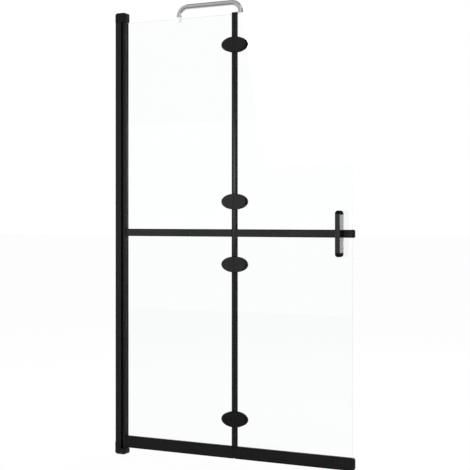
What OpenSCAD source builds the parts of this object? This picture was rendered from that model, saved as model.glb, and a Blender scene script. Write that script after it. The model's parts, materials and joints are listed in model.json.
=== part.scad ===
// Folding bath screen: a leaf that pivots on a wall profile, and a second leaf that folds back on it.
// X runs along the screen from the wall, Y through its thickness (the front is -Y) and Z is up.
// The origin lies on the wall face, in the middle of the glass, half-way up the wall profile.

/* [Overall] */
// Wall face to the outer ends of the rails
screen_width = 803; // [700:1:1000]
// Foot of the bottom cap to the top of the top cap
profile_height = 1400; // [1300:10:1600]
// Wall face to the seam where the outer leaf folds
fold_line = 418.5; // [380:0.5:480]
// Thickness of the toughened glass
glass_thickness = 5; // [4:0.5:6]
// Thickness of a glazing gasket between glass and metal
gasket_thickness = 1; // [0.8:0.1:1.5]

/* [Wall channel] */
// Front width of the channel that is screwed to the wall
channel_width = 20.5; // [18:0.5:30]
// Depth of the channel from front to back
channel_depth = 21.5; // [20:0.5:26]
// Wall thickness of the channel
channel_wall = 1.8; // [1.4:0.1:2.4]
// Diameter of the wall fixing holes
wall_hole_d = 6.5; // [5:0.5:8]
// Number of wall fixing holes
wall_holes = 4; // [2:1:6]
// Distance between neighbouring wall fixing holes
wall_hole_step = 400; // [150:10:420]

/* [Adjusting profile] */
// Room behind the adjusting profile for the heads of the wall screws
head_room = 4.4; // [3:0.2:8]
// Wall thickness of the adjusting profile
adjuster_wall = 1.6; // [1.2:0.1:2]
// Gap between the adjusting profile and the channel
adjuster_gap = 0.3; // [0.2:0.05:0.5]
// Diameter of the clamping screws
clamp_screw_d = 4; // [3:0.5:5]
// Distance of the outer clamping screws from the middle one
clamp_screw_step = 550; // [300:10:600]

/* [Bearing caps] */
// Height of the bottom cap under the leaf
bottom_cap_height = 17; // [14:0.5:24]
// Height of the collar that wraps the channel
collar_height = 38; // [30:1:60]
// Reach of the bottom cap from the wall
bottom_cap_reach = 39.6; // [38:0.2:46]
// Depth of the bottom cap
bottom_cap_depth = 25; // [24.5:0.5:30]
// Height of the top cap
top_cap_height = 28.5; // [24:0.5:34]
// Reach of the top cap from the wall
top_cap_reach = 39; // [38:0.2:46]
// Depth of the top cap
top_cap_depth = 24; // [23.5:0.5:30]
// Radius of the rounded corners at the foot and the head
cap_corner = 8; // [3:0.5:9]
// Radius of the upright edges of the caps
cap_edge = 2.5; // [1:0.5:4]

/* [Wall pivot] */
// Width of the dark groove between the channel and the pivot profile
groove_width = 7.5; // [7:0.5:12]
// Front width of the pivot profile
pivot_width = 9.5; // [9:0.5:14]
// Depth of the pivot profile
pivot_depth = 20; // [19:0.5:22]
// Depth of its glazing slot
pivot_slot = 6; // [5:0.5:7]
// Gap between the leaf and each cap
pivot_gap = 0.6; // [0.4:0.1:1.5]
// Diameter of the pivot pins
pin_d = 6; // [5:0.5:6]
// Outer diameter of the pivot bushes
bush_d = 9; // [8:0.5:9]
// Running clearance between pin and bush, on the radius
pin_clearance = 0.05; // [0.02:0.01:0.1]
// Length of pin that turns in a bush
pin_bite = 11; // [8:0.5:13]
// Thickness of the bottom end plug, which carries the leaf
bottom_plug = 6; // [4:0.5:6]
// Thickness of the top end plug
top_plug = 4; // [3:0.5:8]
// Gap between the pivot seal's lip and the channel
lip_gap = 0.35; // [0.3:0.05:1]

/* [Transom] */
// Height of the middle of the transom
transom_level = 703.7; // [600:1:800]
// Height of the transom
transom_height = 23; // [20:0.5:30]
// Depth of the transom
transom_depth = 13; // [12:0.5:16]
// Depth of its glazing slots
transom_slot = 8; // [5:0.5:8]
// Length of the outer end cap
transom_cap = 5; // [4:0.5:10]

/* [Bottom rail] */
// Underside of the rail above the bottom cap
rail_lift = 6.6; // [6.6:0.2:14]
// Height of the rail
rail_height = 34.8; // [32:0.2:44]
// Depth of the rail
rail_depth = 16; // [14:0.5:20]
// Depth of its glazing slot
rail_slot = 15; // [10:0.5:16]
// Wall thickness of the rail's lower chambers
rail_wall = 2; // [1.4:0.1:2.5]
// Drop of the soft lip below the rail
lip_drop = 2; // [1:0.2:3]
// Length of the rounded outer end cap
rail_cap = 12; // [11:0.5:20]
// Radius of its rounded corners
rail_corner = 10; // [4:0.5:11]
// Thickness of the caps at the seam
inner_cap = 3; // [2:0.5:3]

/* [Edge profiles] */
// Front width of each edge profile
edge_width = 7.7; // [6:0.1:9]
// Depth of the edge profiles
edge_depth = 12; // [11:0.5:12.5]
// Depth of their glazing slots
edge_slot = 4; // [3:0.5:4.5]
// Gap between the two leaves at the seam
seam = 0.6; // [0.6:0.1:1]
// Rise of the edge profiles above the glass
edge_rise = 3.5; // [3.2:0.1:8]
// Radius of the edge profiles' upright edges
edge_round = 1.6; // [0.5:0.1:2]

/* [Hinges] */
// Width of the oval that two plates make
oval_width = 84; // [70:1:110]
// Height of the oval
oval_height = 47.5; // [44:0.5:70]
// Glass middle to the outer face of a plate
plate_reach = 10; // [9:0.25:10]
// Depth of the sloped rim
rim_depth = 1.6; // [0.8:0.1:2.2]
// Edge profile tops to the middle of the top hinge
hinge_from_top = 96; // [60:1:200]
// Transom middle to the middle of the hinges above and below it
hinge_from_transom = 95; // [60:1:200]
// Rail top to the middle of the bottom hinge
hinge_from_rail = 82; // [60:1:200]
// Glass middle to the fold axis
fold_axis_back = 10.8; // [10.8:0.1:12]
// Outer diameter of the knuckles
knuckle_d = 8.8; // [8:0.1:8.8]
// Length of the knuckle stack
knuckle_stack = 36; // [30:0.5:40]
// Length of the middle knuckle
middle_knuckle = 15.6; // [10:0.2:18]
// Gap between neighbouring knuckles
knuckle_gap = 0.4; // [0.3:0.05:0.8]
// Diameter of the hinge pins
hinge_pin_d = 5; // [4:0.25:5.5]
// Diameter of the glass clamping screws
glass_screw_d = 5; // [4:0.5:5]
// Diameter of the holes in the glass
glass_hole_d = 9; // [8:0.5:10]
// Seam to the glass clamping screws
glass_screw_in = 23; // [15:0.5:26]
// Distance between the two screws of a plate
glass_screw_step = 21; // [16:0.5:24]

/* [Handle] */
// Height of the handle
handle_height = 134; // [100:1:200]
// Front width of the handle
handle_width = 15; // [13:0.5:25]
// Depth of the handle in front of the transom
handle_depth = 32; // [16:0.5:40]
// Outer end of the screen to the middle of the handle
handle_in = 39; // [25:1:200]
// Radius of the handle's upright edges
handle_edge = 1.5; // [1:0.5:5]
// Length of each domed end
handle_end = 12; // [8:0.5:18]
// Radius of the domes
handle_dome = 6; // [3:0.5:7]

/* [Top bow] */
// Diameter of the bow's tube
bow_d = 16; // [12:0.5:20]
// Wall thickness of the tube
bow_wall = 1.5; // [1:0.1:2]
// Middle of the bar above the edge profiles
bow_rise = 32; // [32:1:60]
// Distance between the two feet
bow_span = 212.5; // [150:0.5:260]
// Seam to the foot that stands beside it
bow_overhang = 19.5; // [16:0.5:24]
// Radius of the bends, on the middle of the tube
bow_bend = 30; // [16:1:30]
// Thickness of the foot plate on the edge profile
foot_plate = 1.6; // [1.2:0.1:1.8]

/* [Hidden] */
$fn = 48;

// Colours as the eye sees them
satin_black = [0.10, 0.10, 0.11];
seal_black = [0.04, 0.04, 0.04];
chrome_grey = [0.72, 0.72, 0.75];
steel_grey = [0.60, 0.60, 0.62];
clear_glass = [0.80, 0.90, 0.90, 0.35];

// Small amount by which a cut runs past a face
past = 1;
// Gap between parts of one leaf that slide into each other
slip = 0.1;
// Running gap between a screw and its hole, on the radius
screw_gap = 0.05;

slot_width = glass_thickness + 2 * gasket_thickness;
glass_face = glass_thickness / 2;
slot_face = slot_width / 2;

// Wall side
channel_foot = bottom_cap_height;
channel_head = profile_height - top_cap_height;
channel_length = channel_head - channel_foot;
channel_inner = channel_depth / 2 - channel_wall;
mid_height = profile_height / 2;
adjuster_left = channel_wall + head_room;
seal_depth = 1.5;
adjuster_right = channel_width - seal_depth;
adjuster_half = channel_inner - adjuster_gap;
adjuster_x = (adjuster_left + adjuster_right) / 2;
tongue_height = 25;
cover_d = 2.6 * clamp_screw_d;
cover_height = 0.85 * clamp_screw_d;

// Wall pivot
pivot_left = channel_width + groove_width;
pivot_right = pivot_left + pivot_width;
pivot_x = pivot_left + pivot_width / 2;
pivot_half = pivot_depth / 2;
leaf_foot = bottom_cap_height + pivot_gap;
leaf_head = channel_head - pivot_gap;
pivot_foot = leaf_foot + bottom_plug;
pivot_head = leaf_head - top_plug;
flange_d = bush_d + 2.4;
flange_height = 2;
bush_proud = pivot_gap / 2;
bush_length = pin_bite + past;
chamber_wall = 1.6;
chamber_half_width = (pivot_half - slot_face - 2 * chamber_wall) / 2;
chamber_y = slot_face + chamber_wall + chamber_half_width;
stop_inner = 5.5;
stop_height = 13;
lip_slot = 1.6;

// Leaves
glass_top = pivot_head - 0.4;
edge_top = glass_top + edge_rise;
rail_foot = bottom_cap_height + rail_lift;
rail_top = rail_foot + rail_height;
transom_foot = transom_level - transom_height / 2;
transom_top = transom_level + transom_height / 2;
wall_seam = fold_line - seam / 2;
outer_seam = fold_line + seam / 2;
glass_left = pivot_right - pivot_slot + gasket_thickness;
glass_inset = edge_width - edge_slot + gasket_thickness;
lower_glass_foot = rail_top - rail_slot + gasket_thickness;
lower_glass_head = transom_foot + transom_slot - gasket_thickness;
upper_glass_foot = transom_top - transom_slot + gasket_thickness;
outer_reach = screen_width - fold_line;
glass_end = outer_reach - 7;
wall_span = wall_seam - edge_width - pivot_right;
tongue_thick = slot_width - slip;
half_seam = seam / 2;
frame_screw_d = 2.2;
frame_head_d = 1.75 * frame_screw_d;

// Hinges
hinge_heights = [
    rail_top + hinge_from_rail,
    transom_level - hinge_from_transom,
    transom_level + hinge_from_transom,
    edge_top - hinge_from_top
];
knuckle_r = knuckle_d / 2;
outer_knuckle = (knuckle_stack - middle_knuckle) / 2 - knuckle_gap;
pocket_half = edge_depth / 2 + slip;
pocket_reach = half_seam + edge_width + slip;
knuckle_room = knuckle_r + 0.5;
glass_head_d = 1.9 * glass_screw_d;
glass_head_height = 0.5 * glass_screw_d;
pad_inset = 1;
pin_head = 1.5;

// Handle
handle_x = outer_reach - handle_in;
handle_back = transom_depth / 2;
handle_screw_d = 4;
handle_screw_step = handle_width - 2 * handle_screw_d;
handle_spigot = 6;
handle_skin = 2.5;

// Top bow, with x counted from the seam
bow_right = bow_overhang;
bow_left = bow_overhang - bow_span;
bow_foot = edge_top + foot_plate;
bow_level = edge_top + bow_rise;
shoe_wall = 2.5;
bow_spigot = 2.2;
shoe_bite = 9;

// Heights are counted from the foot of the bottom cap; this brings a piece to the origin at mid-height
module from_foot() {
    translate([0, 0, -mid_height])
        children();
}

// A rectangle from the origin with rounded corners
module rounded_rect(size_x, size_y, radius) {
    translate([radius, 0])
        square([size_x - 2 * radius, size_y]);
    translate([0, radius])
        square([size_x, size_y - 2 * radius]);
    for (x = [radius, size_x - radius], y = [radius, size_y - radius])
        translate([x, y])
            circle(r = radius);
}

// An upright bar of rounded section whose middle plane is y = 0
module upright_bar(left, right, depth, foot, head, radius) {
    translate([left, -depth / 2, foot])
        linear_extrude(head - foot)
            rounded_rect(right - left, depth, radius);
}

// A level bar of plain section whose middle plane is y = 0
module level_bar(left, right, depth, foot, head) {
    translate([left, -depth / 2, foot])
        cube([right - left, depth, head - foot]);
}

// A section drawn in Y and Z, run along X
module run_along_x(left, right) {
    translate([left, 0, 0])
        rotate([90, 0, 90])
            linear_extrude(right - left)
                children();
}

// A screw along Y with its flat head at y = face and its point towards -Y
module countersunk_screw(x, z, face, length, d, head_d, head_height, gap = 0) {
    translate([x, face, z])
        rotate([90, 0, 0]) {
            cylinder(h = length + gap, d = d + 2 * gap);
            cylinder(h = head_height, d1 = head_d + 2 * gap, d2 = d + 2 * gap);
        }
}

// Moves the seam frame to its place; the outer leaf is drawn with x counted from the seam
module at_seam() {
    translate([fold_line, 0, 0])
        children();
}

module wall_hole_row() {
    for (i = [0 : wall_holes - 1])
        translate([0, 0, mid_height + (i - (wall_holes - 1) / 2) * wall_hole_step])
            children();
}

module clamp_screw_row() {
    for (i = [-1 : 1])
        translate([adjuster_x, 0, mid_height + i * clamp_screw_step])
            children();
}

module wall_channel() {
    color(satin_black) from_foot()
        difference() {
            upright_bar(0, channel_width, channel_depth, channel_foot, channel_head, 0.6);
            translate([channel_wall, -channel_inner, channel_foot - past])
                cube([channel_width, 2 * channel_inner, channel_length + 2 * past]);
            wall_hole_row()
                translate([-past, 0, 0])
                    rotate([0, 90, 0])
                        cylinder(h = channel_wall + 2 * past, d = wall_hole_d);
            clamp_screw_row()
                rotate([-90, 0, 0])
                    cylinder(h = channel_depth, d = clamp_screw_d + 2 * screw_gap);
        }
}

module adjusting_profile() {
    color(satin_black) from_foot()
        difference() {
            translate([adjuster_left, -adjuster_half, channel_foot])
                cube([adjuster_right - adjuster_left, 2 * adjuster_half, channel_length]);
            translate([adjuster_left + adjuster_wall, -adjuster_half + adjuster_wall, channel_foot - past])
                cube([
                    adjuster_right - adjuster_left - 2 * adjuster_wall,
                    2 * (adjuster_half - adjuster_wall),
                    channel_length + 2 * past
                ]);
            translate([adjuster_right - adjuster_wall - past, -2, channel_foot - past])
                cube([adjuster_wall + 2 * past, 4, channel_length + 2 * past]);
            clamp_screw_row()
                rotate([-90, 0, 0])
                    cylinder(h = channel_depth, d = clamp_screw_d + 2 * screw_gap);
        }
}

// Flat rubber face that closes the channel's mouth, held by a T foot
module channel_seal() {
    color(seal_black) from_foot()
        translate([0, 0, channel_foot])
            linear_extrude(channel_length) {
                translate([adjuster_right, -adjuster_half])
                    square([seal_depth, 2 * adjuster_half]);
                translate([adjuster_right - adjuster_wall - 0.8, -2 + slip])
                    square([adjuster_wall + 0.8 + 0.01, 4 - 2 * slip]);
                translate([adjuster_right - adjuster_wall - 1.8, -3.5])
                    square([1.7, 7]);
            }
}

module clamp_screws() {
    color(steel_grey) from_foot()
        clamp_screw_row()
            rotate([-90, 0, 0]) {
                translate([0, 0, adjuster_half - adjuster_wall - 2])
                    cylinder(h = channel_depth / 2 - adjuster_half + adjuster_wall + 2, d = clamp_screw_d);
                translate([0, 0, channel_depth / 2])
                    cylinder(h = cover_height - 1.2, d = 2 * clamp_screw_d);
            }
}

module clamp_screw_covers() {
    color(satin_black) from_foot()
        clamp_screw_row()
            translate([0, channel_depth / 2, 0])
                rotate([-90, 0, 0])
                    difference() {
                        rotate_extrude()
                            difference() {
                                union() {
                                    square([cover_d / 2, cover_height - 1]);
                                    square([cover_d / 2 - 1, cover_height]);
                                    translate([cover_d / 2 - 1, cover_height - 1])
                                        circle(r = 1);
                                }
                                translate([-cover_d, -past])
                                    square([cover_d, cover_height + 2 * past]);
                            }
                        translate([0, 0, -past])
                            cylinder(h = cover_height - 1 + past, d = 2 * clamp_screw_d + 0.2);
                    }
}

// Plan of a bearing cap: a block against the wall with rounded outer edges
module cap_plan(reach, depth) {
    difference() {
        translate([-cap_edge, -depth / 2])
            rounded_rect(reach + cap_edge, depth, cap_edge);
        translate([-2 * cap_edge, -depth])
            square([2 * cap_edge, 2 * depth]);
    }
}

// A cap block whose two far corners are rounded when it is seen from the front
module cap_block(reach, depth, height, corner) {
    intersection() {
        linear_extrude(height)
            cap_plan(reach, depth);
        translate([0, depth / 2, 0])
            rotate([90, 0, 0])
                linear_extrude(depth)
                    rounded_rect(reach, height + 2 * corner, corner);
    }
}

// Tongue that plugs into the hollow of the adjusting profile
module adjuster_tongue() {
    translate([adjuster_left + adjuster_wall + slip, -adjuster_half + adjuster_wall + slip, 0])
        cube([
            adjuster_right - adjuster_left - 2 * adjuster_wall - 2 - 2 * slip,
            2 * (adjuster_half - adjuster_wall - slip),
            tongue_height
        ]);
}

// Blind seat for a flanged bush, open towards +Z at height 0
module bush_seat() {
    translate([pivot_x, 0, -bush_length - 0.2])
        cylinder(h = bush_length + 0.2 + past, d = bush_d);
    translate([pivot_x, 0, -flange_height + bush_proud])
        cylinder(h = flange_height + past, d = flange_d);
}

module bottom_bearing_cap() {
    color(satin_black) from_foot()
        difference() {
            union() {
                cap_block(bottom_cap_reach, bottom_cap_depth, bottom_cap_height, cap_corner);
                translate([0, 0, bottom_cap_height])
                    linear_extrude(collar_height - bottom_cap_height)
                        difference() {
                            translate([0, -bottom_cap_depth / 2])
                                square([channel_width, bottom_cap_depth]);
                            translate([-past, -channel_depth / 2])
                                square([channel_width + 2 * past, channel_depth]);
                        }
                translate([0, 0, bottom_cap_height])
                    adjuster_tongue();
                translate([channel_width, stop_inner, bottom_cap_height - 0.01])
                    cube([groove_width - 0.35, pivot_half - stop_inner, stop_height]);
            }
            translate([0, 0, bottom_cap_height])
                bush_seat();
        }
}

module top_bearing_cap() {
    color(satin_black) from_foot()
        difference() {
            translate([0, 0, profile_height])
                mirror([0, 0, 1])
                    union() {
                        cap_block(top_cap_reach, top_cap_depth, top_cap_height, cap_corner);
                        translate([0, 0, top_cap_height])
                            adjuster_tongue();
                    }
            translate([0, 0, channel_head])
                mirror([0, 0, 1])
                    bush_seat();
        }
}

// A flanged bush with its mouth at height 0
module flanged_bush() {
    translate([pivot_x, 0, 0])
        difference() {
            union() {
                translate([0, 0, -bush_length])
                    cylinder(h = bush_length, d = bush_d);
                translate([0, 0, -flange_height + bush_proud])
                    cylinder(h = flange_height, d = flange_d);
            }
            translate([0, 0, -bush_length - past])
                cylinder(h = bush_length + 3 * past, d = pin_d + 2 * pin_clearance);
        }
}

module pivot_bushes() {
    color(seal_black) from_foot() {
        translate([0, 0, bottom_cap_height])
            flanged_bush();
        translate([0, 0, channel_head])
            mirror([0, 0, 1])
                flanged_bush();
    }
}

// Outline of the pivot profile from above
module pivot_outline() {
    translate([pivot_left, -pivot_half])
        rounded_rect(pivot_width, pivot_depth, 1);
}

module pivot_profile() {
    color(satin_black) from_foot()
        difference() {
            translate([0, 0, pivot_foot])
                linear_extrude(pivot_head - pivot_foot)
                    difference() {
                        pivot_outline();
                        translate([pivot_right - pivot_slot, -slot_face])
                            square([pivot_slot + past, slot_width]);
                        for (side = [-1, 1])
                            translate([pivot_left + chamber_wall, side * chamber_y - chamber_half_width])
                                square([pivot_width - 2 * chamber_wall, 2 * chamber_half_width]);
                        translate([pivot_left - past, -0.8])
                            square([lip_slot + past, 1.6]);
                    }
            for (z = [transom_level, rail_foot + rail_height / 4])
                countersunk_screw(
                    pivot_right - pivot_slot / 2, z, pivot_half, pivot_half,
                    frame_screw_d, frame_head_d, frame_screw_d / 2, screw_gap
                );
        }
}

// Plates that close the pivot profile's ends, with tongues in its side chambers
module pivot_end_plug(thickness) {
    difference() {
        union() {
            linear_extrude(thickness)
                pivot_outline();
            for (side = [-1, 1])
                translate([
                    pivot_left + chamber_wall + slip,
                    side * chamber_y - chamber_half_width + slip,
                    thickness - 0.01
                ])
                    cube([
                        pivot_width - 2 * chamber_wall - 2 * slip,
                        2 * (chamber_half_width - slip),
                        tongue_height
                    ]);
        }
        translate([pivot_x, 0, -past])
            cylinder(h = thickness + 2 * past, d = pin_d);
    }
}

module pivot_end_plugs() {
    color(satin_black) from_foot()
        difference() {
            union() {
                translate([0, 0, leaf_foot])
                    pivot_end_plug(bottom_plug);
                translate([0, 0, leaf_head])
                    mirror([0, 0, 1])
                        pivot_end_plug(top_plug);
            }
            countersunk_screw(
                pivot_right - pivot_slot / 2, rail_foot + rail_height / 4, pivot_half, pivot_half,
                frame_screw_d, frame_head_d, frame_screw_d / 2, 2 * screw_gap
            );
        }
}

module pivot_pins() {
    color(steel_grey) from_foot() {
        translate([pivot_x, 0, bottom_cap_height - pin_bite])
            cylinder(h = pin_bite + pivot_gap + bottom_plug, d = pin_d);
        translate([pivot_x, 0, leaf_head - top_plug])
            cylinder(h = pin_bite + pivot_gap + top_plug, d = pin_d);
    }
}

// Lip that follows the turning leaf and wipes along the channel's rubber face
module pivot_lip_seal() {
    tip = channel_width + lip_gap;
    foot_end = pivot_left + lip_slot - 0.1;
    color(seal_black) from_foot()
        translate([0, 0, bottom_cap_height + stop_height + 1])
            linear_extrude(pivot_head - bottom_cap_height - stop_height - 1)
                polygon([
                    [foot_end, -0.75], [pivot_left, -0.75], [pivot_left, -2.2], [pivot_left - 1.2, -1.4],
                    [tip + 0.8, -0.5], [tip, 0], [tip + 0.8, 0.5],
                    [pivot_left - 1.2, 1.4], [pivot_left, 2.2], [pivot_left, 0.75], [foot_end, 0.75]
                ]);
}

// A pane that fills its slots, drilled for the hinges that it carries
module pane(left, right, foot, head, hole_x, heights) {
    difference() {
        level_bar(left, right, glass_thickness, foot, head);
        for (z = heights, side = [-1, 1])
            translate([hole_x, glass_thickness, z + side * glass_screw_step / 2])
                rotate([90, 0, 0])
                    cylinder(h = 2 * glass_thickness, d = glass_hole_d);
    }
}

module wall_upper_glass() {
    color(clear_glass) from_foot()
        pane(
            glass_left, wall_seam - glass_inset, upper_glass_foot, glass_top,
            fold_line - glass_screw_in, [hinge_heights[2], hinge_heights[3]]
        );
}

module wall_lower_glass() {
    color(clear_glass) from_foot()
        pane(
            glass_left, wall_seam - glass_inset, lower_glass_foot, lower_glass_head,
            fold_line - glass_screw_in, [hinge_heights[0], hinge_heights[1]]
        );
}

module outer_upper_glass() {
    color(clear_glass) from_foot()
        at_seam()
            pane(
                half_seam + glass_inset, glass_end, upper_glass_foot, glass_top,
                glass_screw_in, [hinge_heights[2], hinge_heights[3]]
            );
}

module outer_lower_glass() {
    color(clear_glass) from_foot()
        at_seam()
            pane(
                half_seam + glass_inset, glass_end, lower_glass_foot, lower_glass_head,
                glass_screw_in, [hinge_heights[0], hinge_heights[1]]
            );
}

// Section of the transom in Y and Z: slots for the panes above and below
module transom_section() {
    difference() {
        translate([-transom_depth / 2, transom_foot])
            rounded_rect(transom_depth, transom_height, 1.2);
        translate([-slot_face, transom_top - transom_slot])
            square([slot_width, transom_slot + past]);
        translate([-slot_face, transom_foot - past])
            square([slot_width, transom_slot + past]);
    }
}

// Tongue of a transom that fits an upright's glazing slot between the panes
module transom_tongue(left, right) {
    level_bar(left, right, tongue_thick, transom_foot + transom_slot, transom_top - transom_slot);
}

module wall_transom() {
    color(satin_black) from_foot()
        difference() {
            union() {
                run_along_x(pivot_right, wall_seam - edge_width)
                    transom_section();
                transom_tongue(pivot_right - pivot_slot + slip, pivot_right + 1);
                transom_tongue(wall_seam - edge_width - 1, wall_seam - edge_width + edge_slot - slip);
            }
            countersunk_screw(
                pivot_right - pivot_slot / 2, transom_level, pivot_half, pivot_half,
                frame_screw_d, frame_head_d, frame_screw_d / 2, screw_gap
            );
            countersunk_screw(
                wall_seam - edge_width + edge_slot / 2, transom_level, edge_depth / 2, edge_depth / 2,
                frame_screw_d, frame_head_d, frame_screw_d / 2, screw_gap
            );
        }
}

module outer_transom() {
    color(satin_black) from_foot()
        at_seam()
            difference() {
                union() {
                    run_along_x(half_seam + edge_width, outer_reach - transom_cap)
                        transom_section();
                    transom_tongue(half_seam + edge_width - edge_slot + slip, half_seam + edge_width + 1);
                }
                countersunk_screw(
                    half_seam + edge_width - edge_slot / 2, transom_level, edge_depth / 2, edge_depth / 2,
                    frame_screw_d, frame_head_d, frame_screw_d / 2, screw_gap
                );
                handle_screw_row(screw_gap);
            }
}

// Section of the bottom rail in Y and Z: glazing slot, hollow chamber and slot for the soft seal
module rail_section() {
    seal_room = 6.5;
    difference() {
        translate([-rail_depth / 2, rail_foot])
            rounded_rect(rail_depth, rail_height, 1.5);
        translate([-slot_face, rail_top - rail_slot])
            square([slot_width, rail_slot + past]);
        translate([-rail_depth / 2 + rail_wall, rail_foot + seal_room + rail_wall])
            square([rail_depth - 2 * rail_wall, rail_height - rail_slot - seal_room - 2 * rail_wall]);
        translate([-rail_depth / 2 + rail_wall, rail_foot + rail_wall])
            square([rail_depth - 2 * rail_wall, seal_room - rail_wall]);
        translate([-2.5, rail_foot - past])
            square([5, rail_wall + 2 * past]);
    }
}

// Tongue of the rail that fits the pivot profile's slot below the pane
module wall_bottom_rail() {
    color(satin_black) from_foot()
        difference() {
            union() {
                run_along_x(pivot_right, wall_seam - inner_cap)
                    rail_section();
                level_bar(
                    pivot_right - pivot_slot + slip, pivot_right + rail_wall, tongue_thick,
                    rail_foot + 1, rail_top - rail_slot - 0.5
                );
            }
            countersunk_screw(
                pivot_right - pivot_slot / 2, rail_foot + rail_height / 4, pivot_half, pivot_half,
                frame_screw_d, frame_head_d, frame_screw_d / 2, screw_gap
            );
        }
}

module outer_bottom_rail() {
    color(satin_black) from_foot()
        at_seam()
            run_along_x(half_seam + inner_cap, outer_reach - rail_cap)
                rail_section();
}

// Cap that closes a rail at the seam, with a tongue in its hollow chamber
module rail_inner_cap() {
    tongue = 8;
    translate([0, 0, rail_foot])
        rotate([90, 0, 90])
            linear_extrude(inner_cap)
                translate([-rail_depth / 2, 0])
                    rounded_rect(rail_depth, rail_height, 1.5);
    translate([
        inner_cap - 0.01,
        -rail_depth / 2 + rail_wall + slip,
        rail_foot + 6.5 + rail_wall + slip
    ])
        cube([
            tongue,
            rail_depth - 2 * rail_wall - 2 * slip,
            rail_height - rail_slot - 6.5 - 2 * rail_wall - 2 * slip
        ]);
}

module wall_rail_inner_cap() {
    color(satin_black) from_foot()
        at_seam()
            mirror([1, 0, 0])
                translate([half_seam, 0, 0])
                    rail_inner_cap();
}

module outer_rail_inner_cap() {
    color(satin_black) from_foot()
        at_seam()
            translate([half_seam, 0, 0])
                rail_inner_cap();
}

// Section of a rail seal in Y and Z: a T foot in the slot and a lip under the rail
module rail_seal_section() {
    translate([-rail_depth / 2 + rail_wall + 1.2, rail_foot + rail_wall])
        square([rail_depth - 2 * rail_wall - 2.4, 2]);
    translate([-2.3, rail_foot - 0.01])
        square([4.6, rail_wall + 0.5]);
    polygon([
        [-rail_depth / 2 + 1, rail_foot], [-rail_depth / 2 + 3, rail_foot - lip_drop],
        [rail_depth / 2 - 3, rail_foot - lip_drop], [rail_depth / 2 - 1, rail_foot]
    ]);
}

module wall_rail_seal() {
    color(seal_black) from_foot()
        run_along_x(pivot_right + rail_wall + slip, wall_seam - inner_cap)
            rail_seal_section();
}

module outer_rail_seal() {
    color(seal_black) from_foot()
        at_seam()
            run_along_x(half_seam + inner_cap, outer_reach - rail_cap)
                rail_seal_section();
}

// Section of an edge profile from above, with its slot towards +X; the seam is at x = 0
module edge_section() {
    difference() {
        translate([half_seam, -edge_depth / 2])
            rounded_rect(edge_width, edge_depth, edge_round);
        translate([half_seam + edge_width - edge_slot, -slot_face])
            square([edge_slot + past, slot_width]);
    }
}

module edge_screw_cut() {
    countersunk_screw(
        half_seam + edge_width - edge_slot / 2, transom_level, edge_depth / 2, edge_depth / 2,
        frame_screw_d, frame_head_d, frame_screw_d / 2, screw_gap
    );
}

module wall_edge_profile() {
    color(satin_black) from_foot()
        at_seam()
            mirror([1, 0, 0])
                difference() {
                    translate([0, 0, rail_top])
                        linear_extrude(edge_top - rail_top)
                            edge_section();
                    edge_screw_cut();
                    bow_plate_screw_row(screw_gap);
                }
}

// The outer leaf's edge profile also has the groove of the fold seal
module outer_edge_profile() {
    color(satin_black) from_foot()
        at_seam()
            difference() {
                translate([0, 0, rail_top])
                    linear_extrude(edge_top - 1.6 - rail_top)
                        difference() {
                            edge_section();
                            translate([half_seam - past, -2])
                                square([1 + past, 4]);
                        }
                edge_screw_cut();
            }
}

module outer_edge_cap() {
    color(satin_black) from_foot()
        at_seam()
            translate([0, 0, edge_top - 1.6])
                linear_extrude(1.2)
                    translate([half_seam, -edge_depth / 2])
                        rounded_rect(edge_width, edge_depth, edge_round);
}

module fold_seal() {
    color(seal_black) from_foot()
        at_seam()
            translate([0, 0, rail_top + 1])
                linear_extrude(edge_top - rail_top - 4)
                    translate([0, -2 + slip])
                        square([half_seam + 1 - slip, 4 - 2 * slip]);
}

// A U of rubber round the edge of a pane; the pane's edge is at x = 0 and the pane lies towards +X
module gasket_section(bite) {
    difference() {
        translate([-gasket_thickness, -slot_face])
            square([bite + gasket_thickness, slot_width]);
        translate([0, -glass_face])
            square([bite + past, glass_thickness]);
    }
}

module upright_gasket(x, foot, head, bite) {
    translate([x, 0, foot])
        linear_extrude(head - foot)
            gasket_section(bite);
}

// Gasket along a level edge at height z, with the pane above it
module level_gasket(left, right, z, bite) {
    run_along_x(left, right)
        translate([0, z])
            rotate([0, 0, 90])
                gasket_section(bite);
}

module wall_glazing_gaskets() {
    pivot_bite = pivot_slot - gasket_thickness;
    edge_bite = edge_slot - gasket_thickness;
    level_left = pivot_right;
    level_right = wall_seam - edge_width;
    color(seal_black) from_foot() {
        upright_gasket(glass_left, lower_glass_foot, lower_glass_head, pivot_bite);
        upright_gasket(glass_left, upper_glass_foot, glass_top, pivot_bite);
        for (span = [[rail_top + slip, lower_glass_head], [upper_glass_foot, glass_top]])
            at_seam()
                mirror([1, 0, 0])
                    upright_gasket(half_seam + glass_inset, span[0], span[1], edge_bite);
        level_gasket(level_left, level_right, lower_glass_foot, rail_slot - gasket_thickness);
        level_gasket(level_left, level_right, upper_glass_foot, transom_slot - gasket_thickness);
        translate([0, 0, 2 * lower_glass_head])
            mirror([0, 0, 1])
                level_gasket(level_left, level_right, lower_glass_head, transom_slot - gasket_thickness);
    }
}

module outer_glazing_gaskets() {
    edge_bite = edge_slot - gasket_thickness;
    level_left = half_seam + edge_width;
    color(seal_black) from_foot()
        at_seam() {
            for (span = [[rail_top + slip, lower_glass_head], [upper_glass_foot, glass_top]])
                upright_gasket(half_seam + glass_inset, span[0], span[1], edge_bite);
            level_gasket(level_left, outer_reach - rail_cap, lower_glass_foot, rail_slot - gasket_thickness);
            level_gasket(level_left, glass_end, upper_glass_foot, transom_slot - gasket_thickness);
            translate([0, 0, 2 * lower_glass_head])
                mirror([0, 0, 1])
                    level_gasket(level_left, glass_end, lower_glass_head, transom_slot - gasket_thickness);
        }
}

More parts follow.
